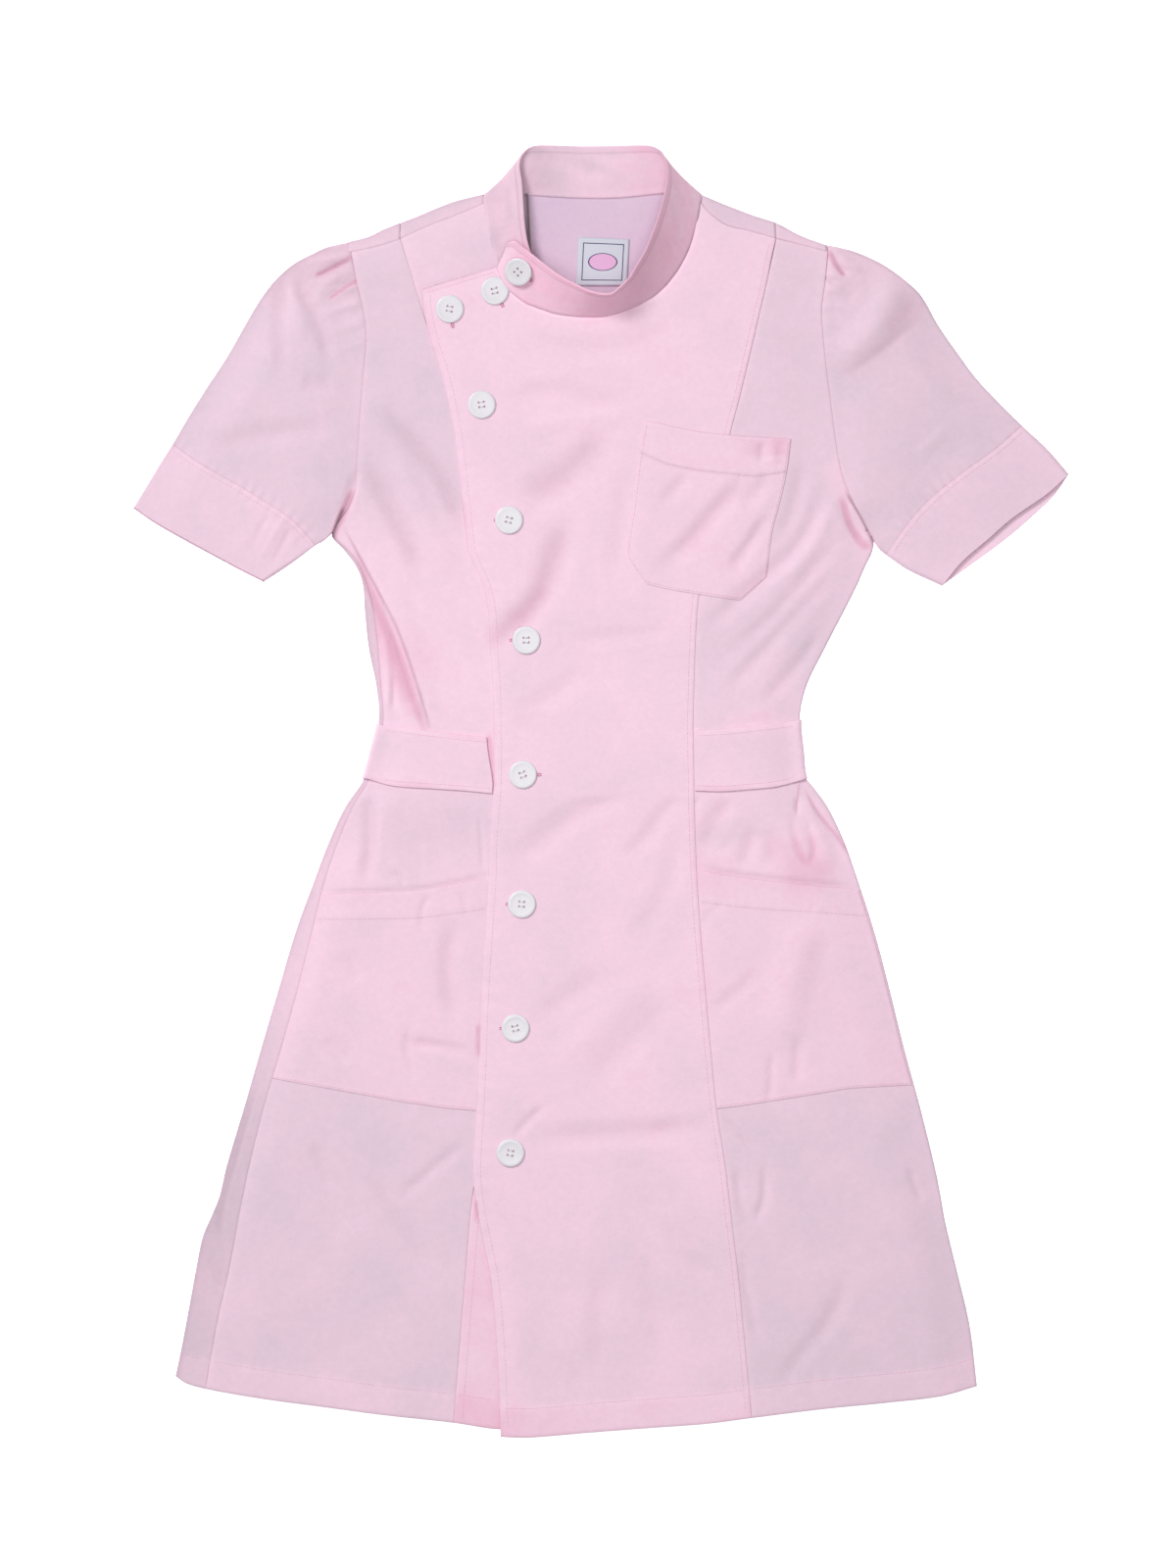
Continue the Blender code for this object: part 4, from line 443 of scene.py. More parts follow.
paintedShadeLines = [(*rule, smoothLine(route, 5.0)) for *rule, route in paintedShades]

belt = {
    "frontLeft": ((-78.0, -1.8, 38.5), (-100.0, 0.3, 40.5), (-119.5, 1.6, 42.8), (-151.4, 3.9, 47.0),
                  (-170.0, 9.2, 49.2)),
    "back": ((-170.0, 9.2, 49.2), (-80.0, 5.0, 47.0), (0.0, 4.0, 46.0), (80.0, 5.5, 48.0),
             (150.0, 9.2, 52.0)),
    "frontRight": ((150.0, 9.2, 52.0), (126.9, 3.2, 49.2), (105.0, 1.0, 46.5), (88.6, -0.3, 44.9),
                   (67.6, 0.2, 43.5)),
    "liftLow": -2.0, "liftHigh": 56.0, "liftRamp": 42.0, "slant": 4.2, "calmReach": 8.0,
}


def foldHeight(x, y):
    total = np.zeros_like(x)
    for west, east, rise, sharp, line in foldLines:
        widest = cloth["foldSpread"] * max(west, east)
        low, top = line.min(0) - widest, line.max(0) + widest
        near = (x > low[0]) & (x < top[0]) & (y > low[1]) & (y < top[1])
        if not near.any():
            continue
        distance, share, side = nearest(line, x[near], y[near])
        spread = cloth["foldSpread"] if sharp < cloth["soft"] else 1.0
        reach = np.clip(distance / (spread * np.where(side > 0, east, west)), 0, 1)
        profile = lerp((1 + np.cos(np.pi * reach)) / 2, (1 - reach) ** 3, sharp)
        ends = smoothStep(np.minimum(share, 1 - share) / 0.32 + 0.15)
        total[near] += cloth["foldLift"] * rise * ends * profile
    return total


belowArm = [row for row in bodySections if row[0] <= armpit["left"]]
silhouette = [np.array(line) for line in (
    shoulder["foldLeft"], sleeves["left"]["upper"] + sleeves["left"]["bandUpper"][1:],
    sleeves["left"]["lower"] + sleeves["left"]["bandLower"][1:],
    [(row[1], row[0]) for row in belowArm], [(row[6], row[0]) for row in belowArm],
    shoulder["foldRight"], sleeves["right"]["upper"] + sleeves["right"]["bandUpper"][1:],
    sleeves["right"]["lower"] + sleeves["right"]["bandLower"][1:],
)]


def wander(x, y, scale, seed):      # smooth noise, about -1 to 1
    flat = [noise.fractal(Vector((a / scale, b / scale, seed)), 1.0, 2.0, 2)
            for a, b in zip(x.ravel(), y.ravel())]
    return np.array(flat).reshape(x.shape)


def noiseAt(*axes):                 # the same, once, at places given axis by axis
    places = np.broadcast_arrays(*axes)
    return np.array([noise.noise(Vector(place)) for place in zip(*[part.ravel() for part in places])]
                    ).reshape(places[0].shape)


def outlineDistance(x, y):
    return np.min([nearest(line, x, y)[0] for line in silhouette], axis=0)


def beltLift(y):
    fromLow = smoothStep((y - belt["liftLow"] + belt["liftRamp"]) / belt["liftRamp"])
    return cloth["layer"] * fromLow * smoothStep((belt["liftHigh"] + belt["liftRamp"] - y) / belt["liftRamp"])


def calm(x, y):             # folds die away under the belt
    off = smoothStep(np.maximum(belt["liftLow"] - y, y - belt["liftHigh"]) / belt["calmReach"])
    return np.where((x < edgeX("sideLeft", y) - 2) | (x > edgeX("sideRight", y) + 2), 1.0, off)


def frontHeight(x, y):
    away = outlineDistance(x, y)
    inside = smoothStep(away / cloth["foldEdge"])
    rumple = sum(height * wander(x, y, size, seed) for height, size, seed in cloth["rumple"])
    lift = cloth["loft"] * smoothStep(away / cloth["loftReach"])
    relief = (foldHeight(x, y) + rumple) * calm(x, y) * inside
    return high + np.maximum(lift + relief, -cloth["sink"] * inside) + beltLift(y)


def underFlap(x, y):        # how far inside the flap's edges
    cornerX, cornerY = neck["flapCorner"]
    run, climb = neck["front"][0][0] - cornerX, neck["front"][0][1] - cornerY
    below = ((x - cornerX) * climb - (y - cornerY) * run) / math.hypot(run, climb)
    return np.minimum(below, x - edgeX("flapEdge", y))


def flapHeight(x, y):
    seam, side = edgeX("princessRight", y), edgeX("sideRight", y)
    outward = smoothStep(np.where(x > seam, (x - seam) / (side - seam - 4.0), 0.0))
    step = lerp(cloth["edgeLayer"], cloth["layer"], smoothStep(underFlap(x, y) / cloth["edgeRamp"]))
    return frontHeight(x, y) + step * (1 - outward)


def underlapHeight(x, y):
    sunk = smoothStep((underFlap(x, y) + 4.0) / cloth["edgeRamp"])
    return frontHeight(x, y) * (1 - sunk) + (high + beltLift(y)) * sunk


def backHeight(y):
    return cloth["low"] + beltLift(y)


def newObject(name, data):
    piece = bpy.data.objects.new(name, data)
    bpy.context.scene.collection.objects.link(piece)
    return piece


def meshData(name, mesh):           # takes over a bmesh
    data = bpy.data.meshes.new(name)
    mesh.to_mesh(data)
    mesh.free()
    return data


def evaluatedMesh(piece):
    bpy.context.view_layer.update()
    return bpy.data.meshes.new_from_object(piece.evaluated_get(bpy.context.evaluated_depsgraph_get()))


def finish(piece, material, wall=0.0):
    piece.data.materials.clear()
    piece.data.materials.append(material)
    piece.data.shade_smooth()
    if wall:
        solid = piece.modifiers.new("wall", "SOLIDIFY")
        solid.thickness = wall * mm
        solid.offset = 0.0
        solid.use_quality_normals = True


def gridObject(name, places, grain, material, wall=None, look=(0.0, 0.0)):
    # places is rows x columns x 3, grain the same cloth laid out flat, look its tint and its painted shade
    rows, columns = places.shape[:2]
    mesh = bmesh.new()
    mesh.loops.layers.uv.new("cut")
    bmesh.ops.create_grid(mesh, x_segments=columns - 1, y_segments=rows - 1, size=0.5)
    data = meshData(name, mesh)
    spots = np.empty(len(data.vertices) * 3)
    data.vertices.foreach_get("co", spots)
    spots = spots.reshape(-1, 3)
    column = np.rint((spots[:, 0] + 0.5) * (columns - 1)).astype(int)
    row = np.rint((0.5 - spots[:, 1]) * (rows - 1)).astype(int)
    data.vertices.foreach_set("co", (places[row, column] * mm).ravel())
    corner = np.empty(len(data.loops), int)
    data.loops.foreach_get("vertex_index", corner)
    data.uv_layers["cut"].data.foreach_set("uv", (grain[row, column][corner] * mm).ravel())
    looks = np.zeros((len(spots), 3), np.float32)
    looks[:, :2] = np.broadcast_to(look, (rows, columns, 2))[row, column]
    data.attributes.new("look", "FLOAT_VECTOR", "POINT").data.foreach_set("vector", looks.ravel())
    piece = newObject(name, data)
    finish(piece, material, cloth["wall"] if wall is None else wall)
    return piece


def weld(piece, distance=0.02, closed=False):
    mesh = bmesh.new()
    mesh.from_mesh(piece.data)
    bmesh.ops.remove_doubles(mesh, verts=mesh.verts, dist=distance * mm)
    if closed:
        bmesh.ops.holes_fill(mesh, edges=[edge for edge in mesh.edges if edge.is_boundary], sides=0)
        bmesh.ops.recalc_face_normals(mesh, faces=mesh.faces)
    mesh.to_mesh(piece.data)
    mesh.free()
    piece.data.shade_smooth()


def shares(width, spacing=None):    # shares of a width for each row, closer together along the edges
    width = np.atleast_1d(np.asarray(width, float))
    middle = max(2, int(np.max(width) / (spacing or cloth["fine"])))
    first = np.minimum(edgeSteps, 0.25 * width[:, None] * edgeSteps / edgeSteps[-1]) / width[:, None]
    start, end = first[:, -1:], 1 - first[:, -1:]
    inner = start + (end - start) * np.linspace(0, 1, middle + 1)[1:-1]
    return np.concatenate([first, inner, 1 - first[:, ::-1]], axis=1)


def heights(top, bottom, spacing=None):
    return np.linspace(top, bottom, int((top - bottom) / (spacing or cloth["fine"])) + 1)


def rowsDown(spacing=None):         # heights of the straight rows, down to the hem
    straight = heights(cloth["topRow"], hem["level"] + 4.0, spacing)
    return np.concatenate([straight, hem["level"] + edgeSteps[::-1]])


def patch(left, right, bottom, top, across, up):
    # left and right are given at the shares up, bottom and top at the shares across
    rows, columns = up[:, None, None], across[None, :, None]
    sides = lerp(left[:, None], right[:, None], columns) + lerp(bottom[None], top[None], rows)
    lowSide = lerp(left[:1, None], right[:1, None], columns)
    highSide = lerp(left[-1:, None], right[-1:, None], columns)
    return sides - lerp(lowSide, highSide, rows)


print("frame and cut ready")

finishes = {
    "lilac": (0.690, 0.515, 0.675),     # wrong side of the cloth
    # cool is made darker than pink: painted shade for the sides and sleeves, which get less light
    "cool": (0.748, 0.572, 0.678),      # single cloth: side panels and sleeves
    "pink": (0.890, 0.626, 0.754),
    # the painted bounce light in folds and gaps tints towards blush as well
    "blush": (0.870, 0.500, 0.645),     # several layers of cloth
    "thread": (0.860, 0.560, 0.680),
    "buttonThread": (0.80, 0.74, 0.80),
    "buttonhole": (0.720, 0.280, 0.420),
    "button": (0.755, 0.733, 0.768),
    "buttonCloud": (0.70, 0.68, 0.72),
    "label": (0.640, 0.660, 0.740),
    "oval": (0.74, 0.42, 0.66),
    "navy": (0.030, 0.030, 0.110),
    "twillPitch": 1.884,    # mm between ribs
    "twillLean": 62,        # degrees
    "clouds": ((0.055, 0.30), (0.009, 0.12)),       # size in metres and reach of the tint's wandering
}


def newMaterial(name):
    material = bpy.data.materials.new(name)
    material.use_nodes = True
    tree = material.node_tree
    return material, tree, tree.nodes["Principled BSDF"]


def feed(tree, node, inputs):       # links or sets a node's inputs
    for key, value in inputs.items():
        if isinstance(value, bpy.types.NodeSocket):
            tree.links.new(value, node.inputs[key])
        else:
            node.inputs[key].default_value = value
    return node


def addNode(tree, kind, inputs=None, **settings):
    node = tree.nodes.new(kind)
    for key, value in settings.items():
        setattr(node, key, value)
    return feed(tree, node, inputs or {})


def mixColours(tree, share, first, second):
    first, second = ((*colour, 1) if isinstance(colour, tuple) else colour for colour in (first, second))
    return addNode(tree, "ShaderNodeMix", {0: share, 6: first, 7: second}, data_type="RGBA").outputs[2]


def calculate(tree, operation, first, second=0.0):
    return addNode(tree, "ShaderNodeMath", {0: first, 1: second}, operation=operation).outputs[0]


def ranged(tree, value, **ends):
    inputs = {name[:-3].title() + " " + name[-3:]: end for name, end in ends.items()}
    return addNode(tree, "ShaderNodeMapRange", {"Value": value, **inputs}).outputs["Result"]


def cloudy(tree, place, scale, detail):
    node = addNode(tree, "ShaderNodeTexNoise", {"Vector": place, "Scale": scale, "Detail": detail})
    return node.outputs["Fac"]


def bumped(tree, height, strength, distance):
    inputs = {"Height": height, "Strength": strength, "Distance": distance}
    return addNode(tree, "ShaderNodeBump", inputs).outputs["Normal"]


def objectPlace(tree):
    return addNode(tree, "ShaderNodeTexCoord").outputs["Object"]


def clothGrain(tree):
    return addNode(tree, "ShaderNodeUVMap", uv_map="cut").outputs["UV"]


def twillMaterial():
    # cotton twill: diagonal ribs along the grain, soft slubs, a tint that wanders, and the look attribute's
    # tint and painted shade
    material, tree, shader = newMaterial("twill")
    place, grain = objectPlace(tree), clothGrain(tree)
    look = addNode(tree, "ShaderNodeAttribute", attribute_name="look").outputs["Vector"]
    look = addNode(tree, "ShaderNodeSeparateXYZ", {"Vector": look})
    tint, shade = look.outputs["X"], look.outputs["Y"]
    for size, reach in finishes["clouds"]:
        shift = ranged(tree, cloudy(tree, place, 1 / size, 2.0), toMin=-reach, toMax=reach)
        tint = calculate(tree, "ADD", tint, shift)
    colour = finishes["lilac"]
    for name, start, end in (("cool", -0.5, 0.0), ("pink", 0.0, 0.5), ("blush", 0.5, 1.0)):
        colour = mixColours(tree, ranged(tree, tint, fromMin=start, fromMax=end), colour, finishes[name])
    slub = cloudy(tree, grain, 900.0, 2.0)
    uneven = calculate(tree, "ADD", slub, cloudy(tree, place, 260.0, 2.0))
    fleck = ranged(tree, uneven, fromMin=0.7, fromMax=1.3, toMin=0.955, toMax=1.01)
    # the look's shade darkens the colour as painted shade; where it is negative it is painted light
    value = calculate(tree, "SUBTRACT", fleck, shade)
    flecked = addNode(tree, "ShaderNodeHueSaturation", {"Color": colour, "Value": value})
    lean = (0, 0, math.radians(finishes["twillLean"]))
    turned = addNode(tree, "ShaderNodeMapping", {"Vector": grain, "Rotation": lean}).outputs["Vector"]
    ribs = addNode(tree, "ShaderNodeTexWave", {
        "Vector": turned, "Distortion": 1.2, "Detail": 1.0,
        "Scale": 0.314 / (finishes["twillPitch"] * mm)}, wave_type="BANDS")
    relief = calculate(tree, "ADD", calculate(tree, "MULTIPLY", ribs.outputs["Fac"], 0.5), slub)
    feed(tree, shader, {
        "Base Color": flecked.outputs["Color"], "Normal": bumped(tree, relief, 0.35, 0.00012),
        "Roughness": 0.88, "Specular IOR Level": 0.25, "Sheen Weight": 0.18, "Sheen Roughness": 0.5})
    return material


def threadMaterial(name, colour):
    material, tree, shader = newMaterial(name)
    twist = cloudy(tree, objectPlace(tree), 2500.0, 1.0)
    dark = tuple(part * 0.9 for part in colour)
    feed(tree, shader, {"Base Color": mixColours(tree, twist, dark, colour),
                        "Normal": bumped(tree, twist, 0.3, 0.0001), "Roughness": 0.6})
    return material


def plasticMaterial():
    material, tree, shader = newMaterial("buttonPlastic")
    cloud = cloudy(tree, objectPlace(tree), 120.0, 3.0)
    feed(tree, shader, {
        "Base Color": mixColours(tree, cloud, finishes["buttonCloud"], finishes["button"]),
        "Roughness": ranged(tree, cloud, toMin=0.3, toMax=0.42), "Coat Weight": 0.15, "Coat Roughness": 0.2,
        "Subsurface Weight": 0.08, "Subsurface Radius": (0.002, 0.002, 0.002)})
    return material


label = {           # corners and height in millimetres, its woven design in metres from its middle
    "corners": ((-18.2, 366.0), (19.0, 366.0), (20.8, 399.6), (-16.5, 401.3)), "height": 1.1,
    "size": (36.5, 34.5), "wall": 0.3,
    "border": (0.0142, 0.0132), "rule": 0.00035, "oval": (0.0100, 0.0062), "ovalRule": 0.045,
}


def labelMaterial():
    # woven ground with a plain ruled border and an oval
    material, tree, shader = newMaterial("labelWeave")
    grain = clothGrain(tree)
    split = addNode(tree, "ShaderNodeSeparateXYZ", {"Vector": grain})
    sides = split.outputs["X"], split.outputs["Y"]

    def calc(operation, first, second=0.0):
        return calculate(tree, operation, first, second)

    past = [calc("SUBTRACT", calc("ABSOLUTE", side), reach) for side, reach in zip(sides, label["border"])]
    rule = calc("LESS_THAN", calc("ABSOLUTE", calc("MAXIMUM", *past)), label["rule"])
    squares = [calc("POWER", calc("DIVIDE", side, reach), 2.0) for side, reach in zip(sides, label["oval"])]
    ovalPlace = calc("POWER", calc("ADD", *squares), 0.5)
    ovalRule = calc("LESS_THAN", calc("ABSOLUTE", calc("SUBTRACT", ovalPlace, 1.0)), label["ovalRule"])
    weave = cloudy(tree, grain, 1500.0, 2.0)
    dark = tuple(part * 0.88 for part in finishes["label"])
    ground = mixColours(tree, weave, dark, finishes["label"])
    colour = mixColours(tree, calc("LESS_THAN", ovalPlace, 1.0), ground, finishes["oval"])
    colour = mixColours(tree, calc("MAXIMUM", rule, ovalRule), colour, finishes["navy"])
    feed(tree, shader, {"Base Color": colour, "Normal": bumped(tree, weave, 0.4, 0.0001), "Roughness": 0.55})
    return material


twill = twillMaterial()
plastic = plasticMaterial()
labelWeave = labelMaterial()
thread = threadMaterial("topstitchThread", finishes["thread"])
holeThread = threadMaterial("buttonholeThread", finishes["buttonhole"])
buttonThread = threadMaterial("buttonThread", finishes["buttonThread"])
pieces = {}


def keepPiece(piece, node):
    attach(piece, "root")
    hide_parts(node)
    pieces[piece.name] = piece


def layCloth(name, x, y, z, look, node, wall=None):
    piece = gridObject(name, stacked(x, y, z), stacked(x, y), twill, wall, look)
    keepPiece(piece, node)


def joined(name, parts):
    mesh = bmesh.new()
    for part in parts:
        mesh.from_mesh(part.data)
    parts[0].name = name
    mesh.to_mesh(parts[0].data)
    mesh.free()
    for part in parts[1:]:
        bpy.data.objects.remove(part, do_unlink=True)
    parts[0].data.name = name
    return parts[0]


def lookOver(x, y, tint, seams=(), hemmed=None, shade=0.0, strength=1.0):
    # painted shade, with a pinker painted bounce light, down in the folds, along seams and the outline and at
    # the hem's edge; the hem is also pinker up to its stitching
    # folds: painted shade and pinker painted bounce light by their depth
    depth = np.clip(-foldHeight(x, y), 0, 2.5)
    tint, shade = tint + 0.05 * depth, shade + 0.03 * depth
    # painted shade where the cloth turns away at the outline
    shade = shade + 0.15 * bell(outlineDistance(x, y), 1.5)
    for line in seams:
        away = nearest(line, x, y)[0]
        tint = tint + 0.12 * strength * bell(away, 3.0)
        # a thin line of painted shade on each seam
        shade = shade + 0.08 * strength * bell(away, 0.8)
    # the table of painted shade, bounce light and painted light
    for reach, pinker, darker, line in paintedShadeLines:
        distance, share, _ = nearest(line, x, y)
        inside = bell(distance, reach) * smoothStep(np.minimum(share, 1 - share) / 0.2 + 0.2)
        tint, shade = tint + pinker * inside, shade + darker * inside
    if hemmed:
        above = y - valueAt(hemmed, x)
        tint = tint + 0.14 * smoothStep((hem["depth"] + 2 - above) / 4.0)
        # painted shade along the hem's bottom edge
        shade = shade + 0.10 * bell(above, 1.2)
    return stacked(tint, shade)


def fromShoulder(x, y, seamX, seamY):
    # adds the rows between a shoulder seam and the first straight row
    reach = cloth["topReach"]
    steps = np.concatenate([edgeSteps[:-1] / reach, np.linspace(edgeSteps[-1] / reach, 1, 10)[:-1]])[:, None]
    return np.vstack([lerp(seamX, x[0], steps), x]), np.vstack([lerp(seamY, y[0], steps), y])


def bodyPanel(leftOf, rightOf, topEnds, seam, spacing=None):
    down = rowsDown(spacing)
    left, right = leftOf(down), rightOf(down)
    part = shares(right - left, spacing)
    x = left[:, None] + (right - left)[:, None] * part
    y = np.repeat(down[:, None], x.shape[1], 1)
    seamX = lerp(*topEnds, part[0])
    return onDress(*fromShoulder(x, y, seamX, valueAt(seam, seamX)))


def lineOf(name, top, shift=0.0, hemLine=None):     # a seam of the body as a line on the dress
    down = np.arange(top, hem["level"] - 0.1, -6.0)
    return stacked(*onDress(edgeX(name, down) + shift, down, hemLine))


def armholeLine(side):
    rule = sleeves[side]
    down = np.linspace(*rule["armhole"], 40)
    return stacked(edgeX(rule["side"], down), down)


princessTop = np.arange(400.0, 335.0, -5.0)     # where the underlap shows beside the side front
sewnLines = {
    "armholeLeft": armholeLine("left"),
    "armholeRight": armholeLine("right"),
    "shoulderLeft": smoothLine(shoulder["seamLeft"]),
    "shoulderRight": smoothLine(shoulder["seamRight"]),
    "sideLeft": lineOf("seamLeft", 180),
    "princessLeftTop": stacked(edgeX("princessLeft", princessTop), princessTop),
    "princessLeft": lineOf("princessLeft", -285.0),
    "princessRight": lineOf("princessRight", 399.0),
}


def sewn(*names):
    return [sewnLines[name] for name in names]


def seamDip(x, y, line, depth=0.2, reach=1.2):
    return -depth * bell(nearest(line, x, y)[0], reach)


def seamDips(x, y, seams):
    return sum(seamDip(x, y, line) for line in seams)


def pucker(x, y, line, height, reach, period, seed):
    # small waves that stitching draws up along a line
    distance, share, _ = nearest(line, x, y)
    walked = share * walkedAlong(line)[-1]
    drift, strength = noiseAt(walked / 22.0, seed, 0.0), noiseAt(walked / 35.0, seed, 7.0)
    wave = np.sin(2 * np.pi * walked / period + 7 * drift) * (0.6 + strength)
    return height * wave * bell(distance, reach)


def hemStep(x, y, line, seed):
    # the turned hem is one layer thicker up to its stitching, and its edge is rounded
    above = y - valueAt(line, x)
    raised = 0.35 * (smoothStep((hem["depth"] + 0.8 - above) / 1.8) - bell(above, 0.9))
    stitchedX = np.linspace(line[0][0], line[-1][0], 90)
    stitched = stacked(stitchedX, valueAt(line, stitchedX) + hem["depth"])
    return np.where(above < 60, raised + pucker(x, y, stitched, 0.2, 6.0, 10.0, seed), 0.0)


sideFrontLeft = {
    "topEnds": (-180.9, shoulder["princessLeft"] - cloth["butt"]),
    "tint": ((-440, 0.16), (-220, 0.12), (-60, 0.4), (-15, 0.25), (60, 0.44), (175, 0.44), (225, 0.1),
             (400, 0.06)),
}


def makeSideFrontLeft():
    x, y = bodyPanel(lambda y: edgeX("seamLeft", y) + cloth["butt"], lambda y: edgeX("princessLeft", y),
                     sideFrontLeft["topEnds"], shoulder["seamLeft"])
    seams = sewn("armholeLeft", "shoulderLeft", "sideLeft", "princessLeft")
    z = frontHeight(x, y) + seamDips(x, y, seams + sewn("princessLeftTop")) + hemStep(x, y, hem["line"], 2.0)
    look = lookOver(x, y, valueAt(sideFrontLeft["tint"], y), seams, hem["line"])
    layCloth("side_front_left_cloth", x, y, z, look, "side_front_left")


underlap = {
    "topEnds": (shoulder["princessLeft"] + cloth["butt"], -84.7), "spacing": 2.4,
    "tint": (0.65, 0.3),        # at the hem and at the top
}


def makeUnderlap():
    x, y = bodyPanel(lambda y: edgeX("princessLeft", y) + cloth["butt"], lambda y: edgeX("underlapEdge", y),
                     underlap["topEnds"], shoulder["seamLeft"], underlap["spacing"])
    seams = sewn("princessLeftTop", "shoulderLeft", "princessLeft")
    z = underlapHeight(x, y) + seamDips(x, y, seams) + hemStep(x, y, hem["line"], 3.0)
    look = lookOver(x, y, lerp(*underlap["tint"], smoothStep((y + 250) / 500.0)), seams[:1], hem["line"])
    layCloth("underlap_cloth", x, y, z, look, "front_underlap")


flap = {
    "neckEnd": 71.6, "princess": 126.85,    # x of the ends of its shoulder seam
    "slant": 56.0,          # length of its slanted edge
    "topShare": 0.07,       # share of its height that its rows from the slanted edge take up
    "level": 219.0,         # below this height its rows run straight across
    "across": 150.0, "wall": 0.75,
    "tint": ((-470, 0.42), (-350, 0.32), (-250, 0.42), (60, 0.41), (250, 0.45), (440, 0.5)),
}


def flapPlace(x, y):
    return stacked(*onDress(x, y, hem["flapLine"]))


def flapPlaces():
    seam, low = shoulder["seamRight"], hem["level"]
    part = np.concatenate([edgeSteps[:-1] / flap["slant"], np.linspace(edgeSteps[-1] / flap["slant"], 1, 25)])
    top = valueAt(seam, flap["princess"])
    shoulderX = lerp(flap["neckEnd"], flap["princess"], part)
    down = np.concatenate([heights(top, low + 4.0)[1:], low + edgeSteps[::-1]])
    evened = np.maximum(0, (down - flap["level"]) / (top - flap["level"]))
    leftY = down - evened * (top - neck["flapCorner"][1])
    slanted = lerp(np.array(neck["front"][0]), np.array(neck["flapCorner"]), part[:, None])
    left = np.vstack([slanted, flapPlace(edgeX("flapEdge", leftY), leftY)])
    right = np.vstack([stacked(shoulderX, valueAt(seam, shoulderX) - cloth["butt"]),
                       flapPlace(edgeX("princessRight", down) - cloth["butt"], down)])
    up = np.concatenate([1 - flap["topShare"] * part, (1 - flap["topShare"]) * (down - low) / (top - low)])
    across = shares(flap["across"])[0]
    bottomX = lerp(hem["flapLine"][0][0], hem["flapLine"][-1][0], across)
    bottom = flapPlace(bottomX, np.full_like(bottomX, low))
    flat = patch(left[::-1], right[::-1], bottom, along(neck["front"], across), across, up[::-1])[::-1]
    return flat[..., 0], flat[..., 1]


def makeFlap():
    x, y = flapPlaces()
    freeEdge = np.vstack([smoothLine([neck["front"][0], neck["flapCorner"]]),
                          lineOf("flapEdge", 362.0, 0.0, hem["flapLine"])])
    z = flapHeight(x, y) + seamDip(x, y, freeEdge, 0.25, 0.9)
    z += seamDips(x, y, sewn("princessRight", "shoulderRight"))
    z += pucker(x, y, lineOf("princessRight", 395.0, -4.0), 0.16, 4.0, 11.0, 4.0)
    z += pucker(x, y, lineOf("flapEdge", 355.0, 6.0, hem["flapLine"]), 0.2, 6.0, 14.0, 5.0)
    z += hemStep(x, y, hem["flapLine"], 6.0)
    look = lookOver(x, y, valueAt(flap["tint"], y), [freeEdge] + sewn("princessRight"), hem["flapLine"])
    layCloth("front_flap_cloth", x, y, z, look, "front_flap",
             flap["wall"])


def aroundEdge(edge, inward, travel, lift=0.0):
    # x and z at a distance travelled round a turned side, which is 0 at the outline
    radius = cloth["roll"]
    angle = np.clip(travel / radius, -math.pi / 2, math.pi / 2)
    inset = radius * (1 - np.cos(angle)) + np.maximum(np.abs(travel) - quarterTurn, 0)
    return edge + inward * (inset + cloth["wall"] / 2), cloth["low"] + radius * (1 + np.sin(angle)) + lift


def sideWrap(y):
    return np.clip((armpit["left"] + armpit["run"] - y) / armpit["run"], 0, 1)


def sideOutline(name, inward, y):
    spread = (cloth["roll"] + cloth["wall"] / 2) * np.clip((y - armpit["left"]) / armpit["spread"] + 1, 0, 1)
    return edgeX(name, y) - inward * spread


sideFrontRight = {
    "tuck": 8.0,            # how far it reaches under the back
    "topEnds": (126.95, 164.2), "turnColumns": 13,
    "tint": ((-440, 0.12), (-230, 0.16), (-55, 0.5), (-20, 0.36), (60, 0.3), (110, 0.14), (175, 0.35),
             (240, 0.14), (400, 0.14)),
}


def makeSideFrontRight():
    down = rowsDown()
    wrap = sideWrap(down)
    columns = sideFrontRight["turnColumns"]
    start = quarterTurn + 5.0 * (1 - wrap)
    reach = (quarterTurn - start) - wrap * (2 * quarterTurn + sideFrontRight["tuck"])
    travel = start[:, None] + reach[:, None] * np.linspace(0, 1, columns)
    outline = sideOutline("sideRight", -1, down)
    turnX, turnZ = aroundEdge(outline[:, None], -1, travel, beltLift(down)[:, None])
    left = edgeX("princessRight", down) + cloth["butt"]
    part = shares(turnX[:, 0] - left)
    flat = part.shape[1]
    x = np.hstack([left[:, None] + (turnX[:, 0] - left)[:, None] * part, turnX[:, 1:]])
    y = np.repeat(down[:, None], x.shape[1], 1)
    firstX, lastX = sideFrontRight["topEnds"]
    cornerX = x[0, flat - 1] + 0.4
    seamX = np.concatenate([lerp(firstX, cornerX, part[0]), np.linspace(cornerX, lastX, columns)[1:]])
    seamY = valueAt(shoulder["seamRight"], seamX) - cloth["butt"]
    x, y = onDress(*fromShoulder(x, y, seamX, seamY))
    seams = sewn("princessRight", "shoulderRight", "armholeRight")
    z = flapHeight(x, y) + seamDips(x, y, seams) + hemStep(x, y, hem["line"], 7.0)
    turned = z[len(z) - len(down):, flat:]
    turned[:] = np.where(travel[:, 1:] < quarterTurn - 0.01, turnZ[:, 1:], turned)
    look = lookOver(x, y, valueAt(sideFrontRight["tint"], y), seams, hem["line"])
    layCloth("side_front_right_cloth", x, y, z, look, "side_front_right")


